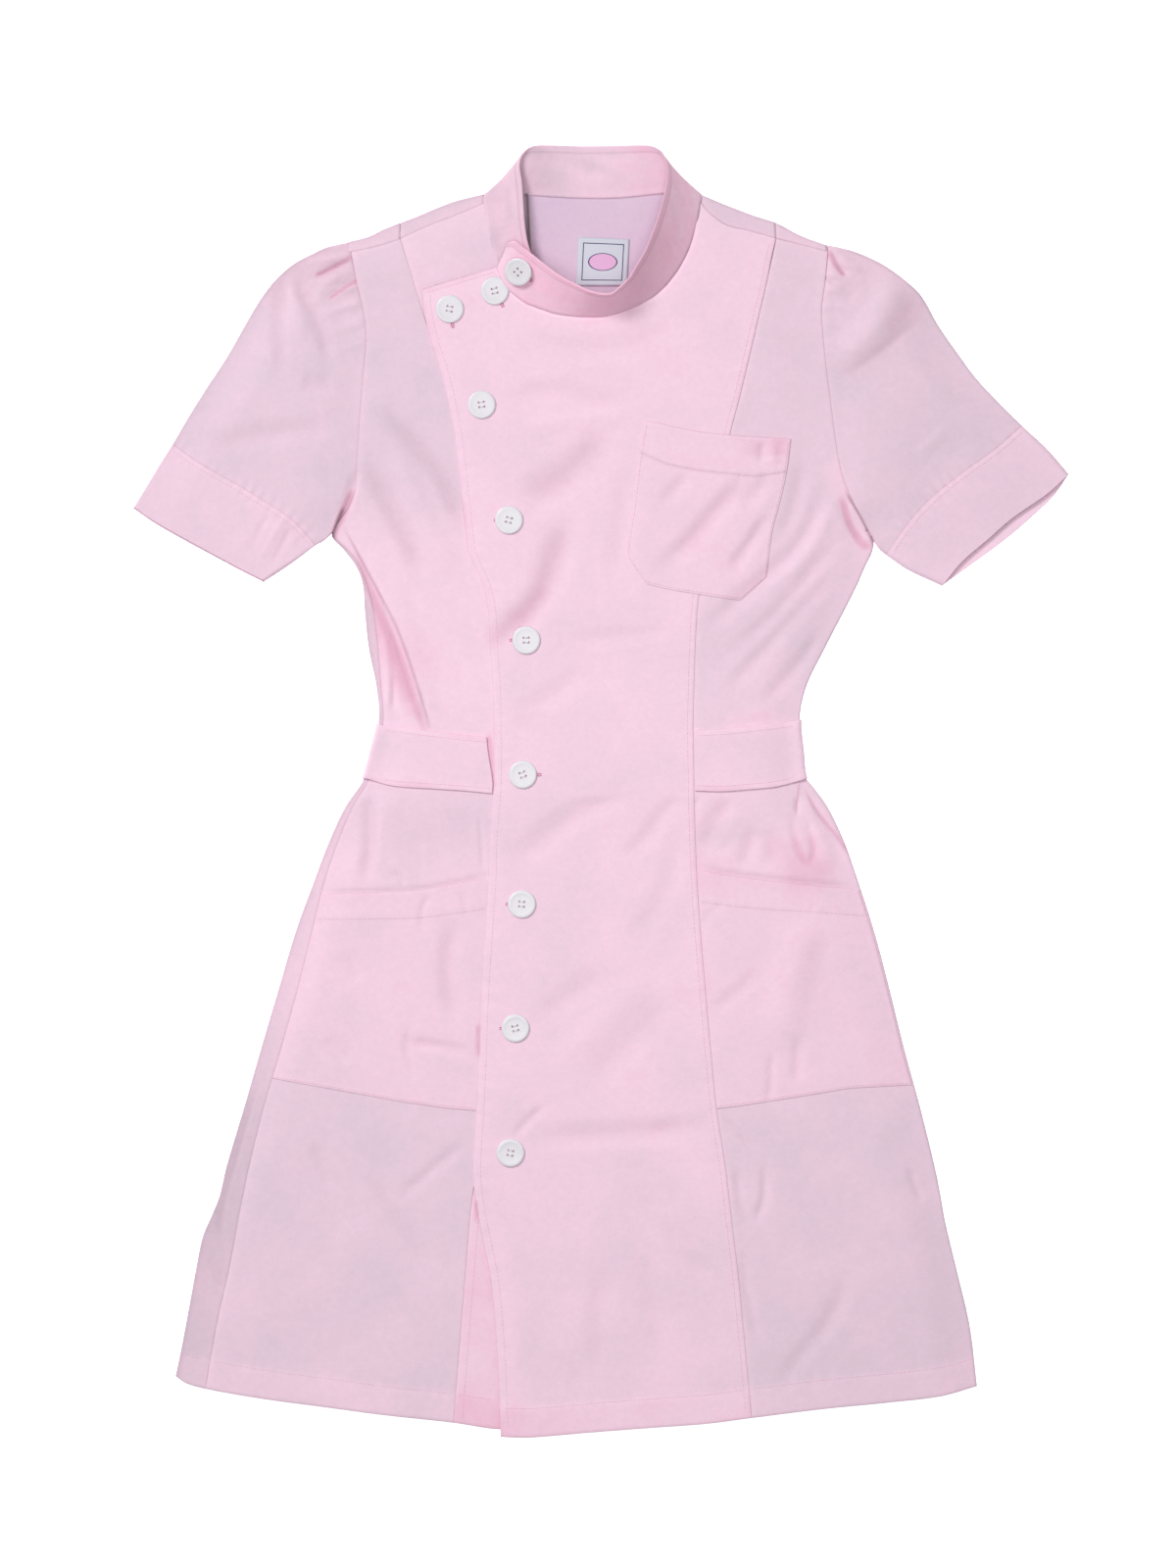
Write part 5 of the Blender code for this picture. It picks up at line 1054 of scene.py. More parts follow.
def shoulderStrip(side, firstX, lastX):
    # cloth that comes over a shoulder to its seam on the front
    fold, seam = shoulder["fold" + side], shoulder["seam" + side]
    x = np.linspace(firstX, lastX, int((lastX - firstX) / cloth["fine"]) + 2)
    travel = np.append(np.linspace(quarterTurn, -quarterTurn, 10), [-quarterTurn - 2.5, -quarterTurn - 5])
    inset, turnZ = aroundEdge(0.0, 1, travel)
    turn = stacked(x, valueAt(fold, x))[None] + np.array(shoulder["inward" + side]) * inset[:, None, None]
    steps = np.concatenate([[0, 0.06, 0.14, 0.26], np.linspace(0.4, 1, 6)[:-1]])[:, None, None]
    flat = lerp(stacked(x, valueAt(seam, x) + cloth["butt"])[None], turn[:1], steps)
    flatX, flatY = flat[..., 0], flat[..., 1]
    flatZ = frontHeight(flatX, flatY) + seamDip(flatX, flatY, smoothLine(seam))
    places = np.concatenate([np.vstack([flat, turn]),
                             np.vstack([flatZ, np.repeat(turnZ[:, None], len(x), 1)])[..., None]], -1)
    look = lookOver(places[..., 0], places[..., 1], 0.2, (smoothLine(seam),), None, 0.03)
    return gridObject("strip", places, places[..., :2], twill, None, look)


def underHem(x, y):
    x, y = onDress(x, y)
    return x, y + hem["under"] * rowDown(y)


backSheets = {
    "under": 7.4,           # how far below the shoulder folds the sheets start
    "neckLeft": -85.0, "neckRight": 72.0,
    "centerTop": (-145.4, 126.8), "rightTop": (126.8, 162.5), "leftTop": (-181.0, -145.5),
    "rightStrip": (126.9, 164.0), "leftStrip": (-183.0, -145.5),
    "rightEdge": (0.2, 10.3),           # inside the outline: at the armhole, and more below it
    # the collar's left edge has a painted shadow on the inside of the neck: inside gives its tint, then the
    # tint and shade of that painted shadow
    "inside": (-0.35, 0.5, 0.72),       # tint, and tint and shade where the collar covers it
}


def backTop(x):             # where the back sheet starts below the shoulders and the neck
    left = valueAt(shoulder["foldLeft"], x) - backSheets["under"]
    right = valueAt(shoulder["foldRight"], x) - backSheets["under"]
    middle = valueAt(neck["back"], x)
    return np.where(x < backSheets["neckLeft"], left, np.where(x > backSheets["neckRight"], right, middle))


def backSheet(name, leftOf, rightOf, topEnds, columns=30, topRows=10):
    part = np.linspace(0, 1, columns)
    down = heights(cloth["topRow"], hem["level"], cloth["coarse"])
    x = lerp(leftOf(down)[:, None], rightOf(down)[:, None], part[None])
    y = np.repeat(down[:, None], columns, 1)
    topX = lerp(*topEnds, part)
    steps = np.linspace(0, 1, topRows)[:-1, None]
    x, y = underHem(np.vstack([lerp(topX, x[0], steps), x]), np.vstack([lerp(backTop(topX), y[0], steps), y]))
    z = backHeight(y) + 0.25 * np.maximum(wander(x, y, 40.0, 11.0), 0)
    shadow = bell(nearest(smoothLine(neck["tuckedSide"]), x, y)[0], 1.4, 4)
    tint, pinker, darker = backSheets["inside"]
    return gridObject(name, stacked(x, y, z), stacked(x, y), twill, None,
                      stacked(tint + pinker * shadow, darker * shadow))


def makeBack():
    ends = backSheets["centerTop"]
    center = [
        backSheet("sheet", lambda y: backSeamX(-1, y), lambda y: backSeamX(1, y), ends, 170, 34),
        shoulderStrip("Left", ends[0], backSheets["neckLeft"]),
        shoulderStrip("Right", backSheets["neckRight"], ends[1]),
    ]
    inset, tuck = backSheets["rightEdge"]
    right = [
        backSheet("sheet", lambda y: backSeamX(1, y),
                  lambda y: edgeX("sideRight", y) - inset - tuck * sideWrap(y), backSheets["rightTop"]),
        shoulderStrip("Right", *backSheets["rightStrip"]),
    ]
    keepPiece(joined("back_center_cloth", center), "back_center")
    keepPiece(joined("side_back_right_cloth", right), "side_back_right")


sideBackLeft = {
    "frontReach": 30.0,     # width of the part that wraps to the front, roughly
    "tint": ((-440, 0.15), (-330, 0.12), (-250, 0.12), (-190, 0.28), (-40, 0.36), (30, 0.3), (180, 0.15)),
    # shade is painted shade on the side that turns under the outline, darkest low on the skirt
    "shade": ((-440, 0.05), (-340, 0.12), (-250, 0.12), (-190, 0.05), (-40, 0.03), (60, 0.07), (180, 0.09)),
}


def makeSideBackLeft():
    down = rowsDown()
    wrap = sideWrap(down)[:, None]
    outline = sideOutline("sideLeft", 1, down)
    turnStart = outline + cloth["roll"] + cloth["wall"] / 2
    seam = np.maximum(edgeX("seamLeft", down) - cloth["butt"], turnStart)
    frontPart = np.concatenate([edgeSteps / sideBackLeft["frontReach"], np.linspace(0.1, 1, 11)[1:]])
    travel = quarterTurn - 2 * quarterTurn * np.linspace(0, 1, 10)[1:]
    travel = lerp(-quarterTurn, travel[None], wrap)
    turnX, turnZ = aroundEdge(outline[:, None], 1, travel, beltLift(down)[:, None])
    frontX = lerp(turnX[:, :1], lerp(seam[:, None], turnStart[:, None], frontPart[None]), wrap)
    backX = lerp(turnX[:, -1:], backSeamX(-1, down)[:, None], np.linspace(0, 1, 8)[None, 1:])
    x = np.hstack([frontX, turnX, backX])
    y = np.repeat(down[:, None], x.shape[1], 1)
    count = frontX.shape[1]
    turned = slice(count, count + turnX.shape[1])
    isUnder = np.zeros(x.shape, bool)
    isUnder[:, turned] = travel < -quarterTurn / 2
    isUnder[:, turned.stop:] = True
    x, y = (np.where(isUnder, below, above) for below, above in zip(underHem(x, y), onDress(x, y)))
    z = frontHeight(x, y) + seamDips(x, y, sewn("sideLeft"))
    z += np.where(np.arange(x.shape[1])[None] < count - 3, hemStep(x, y, hem["line"], 9.0), 0)
    flatLow = backHeight(y)
    z = lerp(flatLow, z, wrap)
    z[:, turned] = turnZ
    z[:, turned.stop:] = flatLow[:, turned.stop:]
    look = lookOver(x, y, valueAt(sideBackLeft["tint"], y), sewn("sideLeft"), hem["line"],
                    valueAt(sideBackLeft["shade"], y))
    main = gridObject("side_back_left_cloth", stacked(x, y, z), stacked(x, y), twill, None, look)
    # the part of the back sheet under the arm
    rowX, rowY = x[0, turned.stop - 1:], y[0, turned.stop - 1:]
    topX = lerp(*backSheets["leftTop"], np.linspace(0, 1, len(rowX)))
    steps = np.linspace(0, 1, 8)[:, None]
    x, y = lerp(topX, rowX, steps), lerp(backTop(topX), rowY, steps)
    top = gridObject("strip", stacked(x, y, backHeight(y)), stacked(x, y), twill)
    strip = shoulderStrip("Left", *backSheets["leftStrip"])
    keepPiece(joined("side_back_left_cloth", [main, top, strip]), "side_back_left")


makeSideFrontLeft()
makeUnderlap()
makeFlap()
makeSideFrontRight()
makeBack()
makeSideBackLeft()
print("body ready")


# Sleeves and their bands are flattened tubes.
tubes = {
    "grain": 38,            # degrees that the grain turns to run down the sleeve
    "foot": 0.1,            # clearance under the tube
    "gathers": {            # pleats at the sleeve's head: share of the armhole and height
        "left": ((0.045, 1.0), (0.10, 0.8), (0.15, 1.1), (0.21, 0.9), (0.28, 0.6), (0.35, 0.35)),
        "right": ((0.05, 0.9), (0.095, 1.0), (0.145, 1.1), (0.2, 0.8), (0.26, 0.5), (0.33, 0.3)),
    },
    "gatherWidth": 0.014, "gatherLift": 1.5, "puff": 2.5,
    # headShade and sideShade are painted shade over the sleeves' heads and over a whole sleeve; drawnLook
    # paints shade and a pinker tint down in the pleats
    "headShade": {"left": 0.12, "right": 0.05}, "sideShade": {"left": 0.0, "right": 0.02},
    "drawnLook": (0.7, 0.12),           # tint and shade down in the pleats at the band's seam
    "length": 130.0, "ringColumns": 130,
    "bandDepth": 44.0, "bandColumns": 80, "bandWall": 1.0,
}


def tubeRing(cells, backCells=14):
    turn = np.linspace(90, -90, 8)[1:-1]
    part = np.concatenate([np.linspace(0, 1, cells + 1), np.ones(len(turn)), np.linspace(1, 0, backCells + 1),
                           np.zeros(len(turn)), [0.0]])
    above, below = np.full(cells + 1, 90.0), np.full(backCells + 1, -90.0)
    angle = np.concatenate([above, turn, below, turn[::-1], [90.0]])
    return part, angle


def patchTube(upper, lower, start, end, part, angle, downs, wall):
    flat = patch(upper[::-1], lower[::-1], end, start, part, 1 - downs[::-1])
    direction = lower[::-1] - upper[::-1]
    direction /= np.maximum(np.linalg.norm(direction, axis=1)[:, None], 1e-6)
    turn = np.radians(angle)
    inset = cloth["roll"] * (1 - np.cos(turn)) + wall / 2
    flat += direction[:, None] * (inset * (1 - 2 * part))[None, :, None]
    z = np.repeat((wall / 2 + tubes["foot"] + cloth["roll"] * (1 + np.sin(turn)))[None], len(downs), 0)
    return flat[::-1, :, 0], flat[::-1, :, 1], z


def gatherHeight(side, part, down):
    # small pleats that the gathered head sets off along the armhole
    ripple = sum(height * bell(part - middle, tubes["gatherWidth"])
                 for middle, height in tubes["gathers"][side])
    return tubes["gatherLift"] * ripple * smoothStep(down / 0.03) * smoothStep(1 - down / 0.3) ** 1.5


def bandPucker(side, x, y):         # the band's seam draws the cloth up, most where it was eased in
    line = smoothLine(sleeves[side]["bandSeam"])
    share = nearest(line, x, y)[1]
    eased = smoothStep((share - 0.38) / 0.08) * smoothStep((0.88 - share) / 0.08)
    return pucker(x, y, line, 0.25, 6.5, 8.0, 12.0) * (1 + sleeves[side]["drawn"] * eased)


def layTube(name, side, angle, x, y, z, tint, shade, drawn, seams, wall=None):
    front = np.isclose(angle, 90.0)
    # painted shade and a pinker tint down in the pleats at the band's seam
    pinker, darker = tubes["drawnLook"]
    tint[:, front] += pinker * np.clip(-drawn, 0, 0.7)
    shade[:, front] += darker * np.clip(-drawn, 0, 0.7)
    turn = math.radians(tubes["grain"]) * sleeves[side]["out"]
    grain = stacked(x * math.cos(turn) - y * math.sin(turn), x * math.sin(turn) + y * math.cos(turn))
    look = lookOver(x, y, tint, seams, None, shade, 0.7)
    piece = gridObject(name + side + "_cloth", stacked(x, y, z), grain, twill, wall, look)
    weld(piece)
    keepPiece(piece, name + side)


def makeSleeve(side):
    rule = sleeves[side]
    part, angle = tubeRing(tubes["ringColumns"])
    near = edgeSteps / tubes["length"]
    middle = np.linspace(3 / tubes["length"], 1 - 2 / tubes["length"], 88)
    downs = np.concatenate([near[:-1], middle, 1 - near[2::-1]])
    topY, lowY = rule["armhole"]
    down = lerp(topY, lowY, part)
    armhole = stacked(edgeX(rule["side"], down) + rule["out"] * cloth["butt"], down)
    upper = along(((armhole[0][0], topY),) + rule["upper"], downs)
    lower = along(((edgeX(rule["side"], lowY) + rule["out"] * 0.8, lowY),) + rule["lower"], downs)
    seam = along(rule["bandSeam"], part)
    x, y, z = patchTube(upper, lower, armhole, seam, part, angle, downs, cloth["wall"])
    front = np.isclose(angle, 90.0)
    frontX, frontY, frontPart, down = x[:, front], y[:, front], part[front][None], downs[:, None]
    puff = smoothStep(down / 0.3) * smoothStep((1 - down) / 0.6)
    puff = puff * smoothStep(frontPart / 0.25) * smoothStep((1 - frontPart) / 0.5)
    bandSeam = smoothLine(rule["bandSeam"])
    drawn = bandPucker(side, frontX, frontY)
    z[:, front] = (frontHeight(frontX, frontY) + gatherHeight(side, frontPart, down) + tubes["puff"] * puff
                   + seamDips(frontX, frontY, (armholeLine(side), bandSeam)) + drawn)
    # the seam allowance lies under the body
    x[0, front] -= rule["out"] * 1.2
    z[0, front] -= 1.0
    # painted shade over the sleeve's head, which is also pinker
    head = smoothStep((y - 340) / 40)
    shade = tubes["headShade"][side] * head + tubes["sideShade"][side]
    layTube("sleeve_", side, angle, x, y, z, 0.08 + 0.3 * head, shade, drawn, (armholeLine(side), bandSeam))


def makeCuff(side):
    rule = sleeves[side]
    part, angle = tubeRing(tubes["bandColumns"])
    near = edgeSteps / tubes["bandDepth"]
    downs = np.concatenate([near[:-1], np.linspace(near[-1], 1 - near[-1], 17), 1 - near[-2::-1]])
    upper, lower = along(rule["bandUpper"], downs), along(rule["bandLower"], downs)
    seam, edge = along(rule["bandSeam"], part), along(rule["bandEdge"], part)
    below = (angle < 0)[:, None]
    toSeam = (seam - edge) / np.linalg.norm(seam - edge, axis=1)[:, None]
    end = np.where(below, along(rule.get("bandEdgeBelow", rule["bandEdge"]), part),
                   edge + rule["edgeInset"] * toSeam)
    x, y, z = patchTube(upper, lower, seam, end, part, angle, downs, tubes["bandWall"])
    front = np.isclose(angle, 90.0)
    bandSeam = smoothLine(rule["bandSeam"])
    drawn = bandPucker(side, x[:, front], y[:, front])
    height = lerp(frontHeight(x[:, front], y[:, front]) + 0.08, high + 0.9, 0.8 * smoothStep(downs)[:, None])
    z[:, front] = height + seamDip(x[:, front], y[:, front], bandSeam) + drawn
    # the back layer seen in the opening is pinker, and a negative shade paints light on it where the front
    # layer's shadow falls
    tint = np.where(below.T, 0.5, 0.27) * np.ones_like(x)
    shade = np.where(below.T, -0.05, 0.0) * np.ones_like(x)
    layTube("cuff_", side, angle, x, y, z, tint, shade, drawn, (bandSeam,),
            tubes["bandWall"])


for side in ("left", "right"):
    makeSleeve(side)
    makeCuff(side)
print("sleeves ready")


# Collar: seam x and y, what it stands on, height over that, then x, y and height of its edge.
collarStations = (
    (-67.5, 364.5, "front", 0.0, -46.5, 379.0, 12.0),
    (-73.0, 377.0, "front", 0.0, -50.0, 388.0, 12.5),
    (-77.5, 391.0, "front", 0.0, -53.0, 397.5, 13.0),
    (-81.0, 406.0, "front", 0.0, -55.0, 411.0, 13.0),
    (-83.3, 417.0, "front", 0.0, -56.0, 426.0, 12.0),
    (-84.7, 426.0, "front", 0.3, -57.0, 441.0, 10.5),
    (-85.0, 430.5, "floor", 2.2, -58.5, 453.5, 9.0),
    (-82.0, 433.2, "floor", 1.2, -55.5, 462.6, 7.0),
    (-74.0, 433.0, "floor", 0.8, -49.5, 466.9, 5.0),
    (-53.4, 432.0, "floor", 0.8, -38.0, 467.7, 3.6),
    (-19.3, 430.0, "floor", 0.8, -14.0, 467.1, 3.0),
    (12.6, 430.0, "floor", 0.8, 9.0, 467.4, 3.0),
    (43.8, 433.0, "floor", 0.8, 28.5, 467.7, 3.6),
    (61.0, 433.8, "floor", 0.8, 37.0, 466.9, 5.0),
    (69.5, 434.0, "floor", 1.2, 42.5, 463.4, 7.0),
    (72.6, 431.0, "floor", 2.2, 46.2, 455.5, 9.0),
    (71.9, 424.5, "flap", 0.0, 47.4, 446.0, 10.5),
    (69.4, 411.3, "flap", 0.0, 45.6, 432.5, 13.5),
    (65.1, 395.6, "flap", 0.0, 41.7, 417.7, 16.5),
    (59.5, 383.0, "flap", 0.0, 36.7, 402.8, 20.0),
    (52.4, 372.2, "flap", 0.0, 31.0, 389.3, 23.5),
    (44.6, 363.3, "flap", 0.0, 25.4, 379.4, 26.5),
    (36.0, 356.6, "flap", 0.0, 20.4, 370.8, 29.5),
    (20.4, 348.8, "flap", 0.0, 12.2, 362.0, 32.5),
    (4.8, 343.8, "flap", 0.0, 5.5, 358.0, 33.5),
    (-11.5, 343.1, "flap", 0.0, -7.3, 360.1, 32.5),
    (-23.6, 343.8, "flap", 0.0, -19.3, 365.8, 30.0),
    (-35.0, 345.9, "flap", 0.1, -29.3, 371.5, 27.0),
    (-44.9, 349.5, "flap", 0.2, -37.8, 377.9, 24.0),
    (-54.1, 353.0, "flap", 0.4, -45.6, 384.3, 21.5),
    (-61.2, 358.0, "flap", 1.0, -52.7, 390.0, 20.0),
    (-66.9, 363.0, "flap", 1.6, -58.4, 394.3, 19.0),
    (-71.2, 369.4, "flap", 2.1, -62.7, 397.1, 18.0),
    (-75.4, 378.8, "flap", 2.1, -67.2, 395.7, 16.0),
)
collarBand = {
    "wall": 1.3, "rim": 0.95, "setback": -0.2, "pressed": 0.35, "bulge": 1.2, "columns": 420,
    # along the band, from its underlap end round the back to its closing end
    # tint and painted shade along the band; the shade is darkest where the band turns away from the light,
    # and slightly negative, painted light, at its closing end
    "tint": ((0.0, 0.6), (0.2, 0.4), (0.35, 0.45), (0.5, 0.7), (0.62, 0.85), (0.8, 0.85), (1.0, 0.65)),
    "shade": ((0.0, 0.1), (0.1, 0.14), (0.25, 0.13), (0.3, 0.05), (0.45, 0.05), (0.52, 0.18), (0.68, 0.15),
              (0.8, 0.0), (1.0, -0.02)),
    "stitchAt": 0.86, "tuckedShade": 0.8,
    "foot": ((0.0, 0.8), (0.05, 0.15)),     # how the foot flares: share of the rise, and offset
    "creases": ((16.0, 1.0), (6.0, 0.6)), "patches": 22.0,      # sizes along the band, and strengths
    "grounds": {"front": underlapHeight, "flap": flapHeight, "floor": lambda x, y: x * 0},
}


def collarSurface():
    seam, edge = [], []
    for seamX, seamY, on, seamZ, *top in collarStations:
        ground = collarBand["grounds"][on](np.array([seamX]), np.array([seamY]))[0]
        foot = np.array((seamX, seamY, ground + seamZ - collarBand["pressed"]))
        inward = (np.array(top) - foot) * (1, 1, 0)
        seam.append(foot + inward / np.linalg.norm(inward) * collarBand["setback"])
        edge.append(top)
    seam, edge = np.array(seam), np.array(edge)
    walked = walkedAlong((seam + edge) / 2)
    at = np.linspace(0, walked[-1], collarBand["columns"])
    seam, edge = (stacked(*[valueAt(list(zip(walked, column)), at) for column in line.T])
                  for line in (seam, edge))
    rise = edge - seam
    normal = np.cross(np.gradient((seam + edge) / 2, axis=0), rise)
    normal /= np.linalg.norm(normal, axis=1)[:, None]
    return seam, rise, normal, at


collarShape = collarSurface()


def collarProfile():        # each row: share of the rise, and offset along the normal
    half, rim = collarBand["wall"] / 2, collarBand["rim"]
    levels = [*np.linspace(0, 0.78, 10), 0.82, 0.86, 0.9]
    outside = [(share, half) for share in levels] + [(0.935, half + 0.1), (0.965, rim)]
    inside = [(share, -offset) for share, offset in outside[::-1]]
    outside[:2] = [(share, half + flare) for share, flare in collarBand["foot"]]
    return outside + [(0.985, rim * 0.75), (1.0, 0.0), (0.985, -rim * 0.75)] + inside, len(outside) + 3


def makeCollar():
    seam, rise, normal, walked = collarShape
    profile, firstInner = collarProfile()
    (wideCrease, wideRise), (fineCrease, fineRise) = collarBand["creases"]
    rows = []
    for share, offset in profile:
        crease = wideRise * noiseAt(walked / wideCrease, 3.0, 0.0)
        crease += fineRise * noiseAt(walked / fineCrease + 2 * share, 2.5 * share, 1.0)
        bulge = collarBand["bulge"] * 4 * share * (1 - share) + 0.6 * crease * math.sin(math.pi * share)
        rows.append(seam + rise * share + normal * (offset + bulge)[:, None])
    places = np.array(rows + rows[:1])
    level = np.array([share for share, _ in profile] + [0.0])[:, None]
    grain = stacked(walked[None], level * np.linalg.norm(rise, axis=1)[None])
    tint, shade = (valueAt(collarBand[name], walked / walked[-1])[None] for name in ("tint", "shade"))
    patchy = noiseAt(walked[None] / collarBand["patches"] + level, 4.0 * level, 9.0)
    tint = tint - 0.18 * patchy + 0.1 * (level > 0.85)
    # painted light at the foot, where the band meets the cloth
    shade = shade + 0.04 * patchy + 0.13 * bell(level - collarBand["stitchAt"], 0.02) - 0.14 * (level < 0.04)
    tucked = nearest(smoothLine(neck["tuckedBand"]), places[..., 0], places[..., 1])[0]
    inner = np.arange(len(level))[:, None] > firstInner
    # painted shadow on the inner face along the band's tucked left edge
    look = stacked(tint, shade + collarBand["tuckedShade"] * inner * bell(tucked, 1.5, 4))
    piece = gridObject("collar_cloth", places, grain, twill, 0, look)
    weld(piece, 0.001, closed=True)
    keepPiece(piece, "collar")


makeCollar()
print("collar ready")


pockets = {
    "hipTopLeft": ((-203.0, -74.9), (-158.5, -73.2), (-130.8, -71.6), (-117.3, -69.4), (-82.5, -62.3)),
    "hipBottomLeft": ((-238.9, -207.9), (-199.0, -215.0), (-144.3, -224.9), (-109.5, -229.9),
                      (-90.9, -231.3)),
    "hipTopRight": ((69.9, -56.6), (92.0, -61.0), (115.6, -64.4), (185.0, -71.5)),
    "hipBottomRight": ((84.1, -229.9), (102.1, -227.7), (143.2, -221.3), (180.9, -215.0), (225.0, -212.8)),
    "breastTop": ((31.8, 268.3), (70.1, 260.0), (100.0, 256.9), (117.0, 255.8), (137.4, 255.0)),
    "breastRight": ((137.4, 255.0), (134.0, 228.8), (129.0, 207.0), (124.1, 188.3), (119.8, 155.0)),
    "breastLeft": ((31.8, 268.3), (27.5, 243.0), (23.3, 205.4), (19.4, 180.0), (19.0, 169.9)),
    "breastBottom": ((19.0, 169.9), (31.8, 150.0), (51.0, 145.4), (70.8, 142.2), (100.6, 137.9),
                     (119.8, 155.0)),
    # depth of the turned top, step and shade at its stitching, and the pocket's size
    "hip": {"band": 19.0, "step": 0.12, "line": 0.03, "width": 137.0, "tall": 150.0, "flat": (0.14, 0.155)},
    "breast": {"band": 25.5, "step": 0.25, "line": 0.10, "width": 105.0, "tall": 112.0,
               "flat": (0.108, 0.122)},
    "lift": (0.63, 0.95),   # over what it is sewn to, at its stitched sides and inside
    "wall": 0.5,
}


def pocketProfile(across, down, rule):
    # flat along its stitched sides, a little fuller inside, thicker at its turned top
    side, deep = np.minimum(across, 1 - across) * rule["width"], down * rule["tall"]
    low = (1 - down) * rule["tall"]
    full = smoothStep(np.minimum(side, low) / 12.0)
    lift = lerp(*pockets["lift"], full)
    lift += rule["step"] * smoothStep((rule["band"] + 0.8 - deep) / 1.8)
    lift += 0.3 * smoothStep(1 - deep / 9.0) * full
    return lift - 0.25 * bell(np.minimum(np.minimum(side, low), deep), 0.8)


def layPocket(node, left, right, bottom, top, height):
    rule = pockets[node.split("_")[0]]
    across, rows = shares(rule["width"])[0], shares(rule["tall"])[0]
    up = 1 - rows[::-1]
    places = patch(left(up), right(up), bottom(across), top(across), across, up)[::-1]
    x, y = places[..., 0], places[..., 1]
    down = (1 - up)[::-1][:, None]
    bandLine = places[np.argmin(np.abs(rows * rule["tall"] - rule["band"]))][::3]
    z = height(x, y) + pocketProfile(across[None], down, rule) + pucker(x, y, bandLine, 0.16, 5.0, 8.5, 20.0)
    rim = np.stack([*places[0, ::4], *places[::4, -1], *places[-1, ::-4], *places[::-4, 0]])
    tint = 0.44 + 0.08 * smoothStep((rule["band"] - down * rule["tall"]) / 3.0)
    # painted shade: a little over the whole pocket, and a line along the band's stitching
    shade = 0.015 + rule["line"] * bell(nearest(bandLine, x, y)[0], 0.8)
    layCloth(node + "_cloth", x, y, z, lookOver(x, y, tint, (rim,), None, shade, 0.6), node,
             pockets["wall"])
    return places


def makeHipPocket(side, leftSeam, rightSeam, height):
    top, bottom = pockets["hipTop" + side], pockets["hipBottom" + side]

    def seamSide(seam, end):        # the pocket's side runs along a seam, at a small distance
        return lambda up: stacked(edgeX(seam[0], lerp(bottom[end][1], top[end][1], up)) + seam[1],
                                  lerp(bottom[end][1], top[end][1], up))

    def between(points, up):        # the line's own ends give way to the sides
        ends = [tuple(line(np.array([up]))[0]) for line in (left, right)]
        return lambda share: straightAlong((ends[0],) + points[1:-1] + (ends[1],), share)

    left, right = seamSide(leftSeam, 0), seamSide(rightSeam, -1)
    return layPocket("hip_pocket_" + side.lower(), left, right, between(bottom, 0.0), between(top, 1.0),
                     height)


def makeBreastPocket():
    return layPocket("breast_pocket", lambda up: along(pockets["breastLeft"], 1 - up),
                     lambda up: along(pockets["breastRight"], 1 - up),
                     lambda share: straightAlong(pockets["breastBottom"], share),
                     lambda share: along(pockets["breastTop"], share), flapHeight)


pocketPlaces = {
    "left": makeHipPocket("Left", ("seamLeft", 0.2), ("flapEdge", 1.2), frontHeight),
    "right": makeHipPocket("Right", ("princessRight", 0.2), ("sideRight", -2.0), flapHeight),
    "breast": makeBreastPocket(),
}


beltStrip = {
    "depth": 44.0, "wall": 1.1, "lift": 1.3,
    "ends": (0, 0.006, 0.014, 0.026, 0.045),        # closer columns at each sewn end
    "leftX": -170.0, "rightX": 150.0,               # where it turns round the sides
    "tint": (0.38, 0.2),                            # inside, and how much more along its edges
    "middleRow": 9,
}


def beltY(name, x, up):
    low, top = (valueAt([(knot[0], knot[row]) for knot in belt[name]], x) for row in (1, 2))
    return lerp(low, top, up)


def makeBelt():
    rows = shares(beltStrip["depth"])[0][::-1]
    top = high + cloth["layer"] * 2 + 0.9
    radius = (top - cloth["low"]) / 2
    left = edgeX("sideLeft", beltY("back", beltStrip["leftX"], rows)) - cloth["layer"] + 0.5
    right = edgeX("sideRight", beltY("back", beltStrip["rightX"], rows)) + cloth["layer"] - 0.5
    columns = []

    def front(name, end, side, height, parts):
        for share in parts:
            x = lerp(end, side, share)
            y = beltY(name, x, rows)
            turned = smoothStep((share - 0.85) / 0.15)
            columns.append(stacked(x, y, lerp(height(x, y) + beltStrip["lift"], top, turned)))

    def turn(edge, inward, angles):
        y = beltY("back", edge.mean(), rows)
        for angle in np.radians(angles):
            columns.append(stacked(edge + inward * radius * (1 - math.cos(angle)), y,
                                   cloth["low"] + radius * (1 + math.sin(angle))))

    # the left end is caught at a slant, so that its upper corner stands off the flap
    end = edgeX("flapEdge", beltY("frontLeft", -78.0, rows)) - 0.6
    end -= belt["slant"] * smoothStep(rows / 0.9 - 0.1)
    ends = beltStrip["ends"]
    front("frontLeft", end, left + radius, frontHeight, [*ends, *np.linspace(0.065, 1, 36)])
    turn(left, 1, np.linspace(90, -90, 14)[1:])
    for share in np.linspace(0, 1, 40)[1:-1]:
        x = lerp(left + radius, right - radius, share)
        columns.append(stacked(x, beltY("back", x, rows), cloth["low"]))
    turn(right, -1, np.linspace(-90, 90, 14)[:-1])
    end = edgeX("princessRight", beltY("frontRight", 67.6, rows)) + 0.6
    front("frontRight", end, right - radius, flapHeight, [*np.linspace(1, 0.065, 32), *ends[::-1]])
    places = np.stack(columns, 1)
    walked = walkedAlong(places[beltStrip["middleRow"]])
    rounded = (np.minimum(rows, 1 - rows) * beltStrip["depth"])[:, None]
    places[..., 2] -= 0.25 * bell(rounded, 0.8)
    grain = stacked(walked[None], np.linspace(0, beltStrip["depth"], len(rows))[:, None])
    tint, edged = beltStrip["tint"]
    look = stacked(tint + edged * bell(rounded, 5.0), np.zeros((1, len(walked))))
    piece = gridObject("belt_cloth", places, grain, twill, beltStrip["wall"], look)
    keepPiece(piece, "belt")


makeBelt()
print("pockets and belt ready")


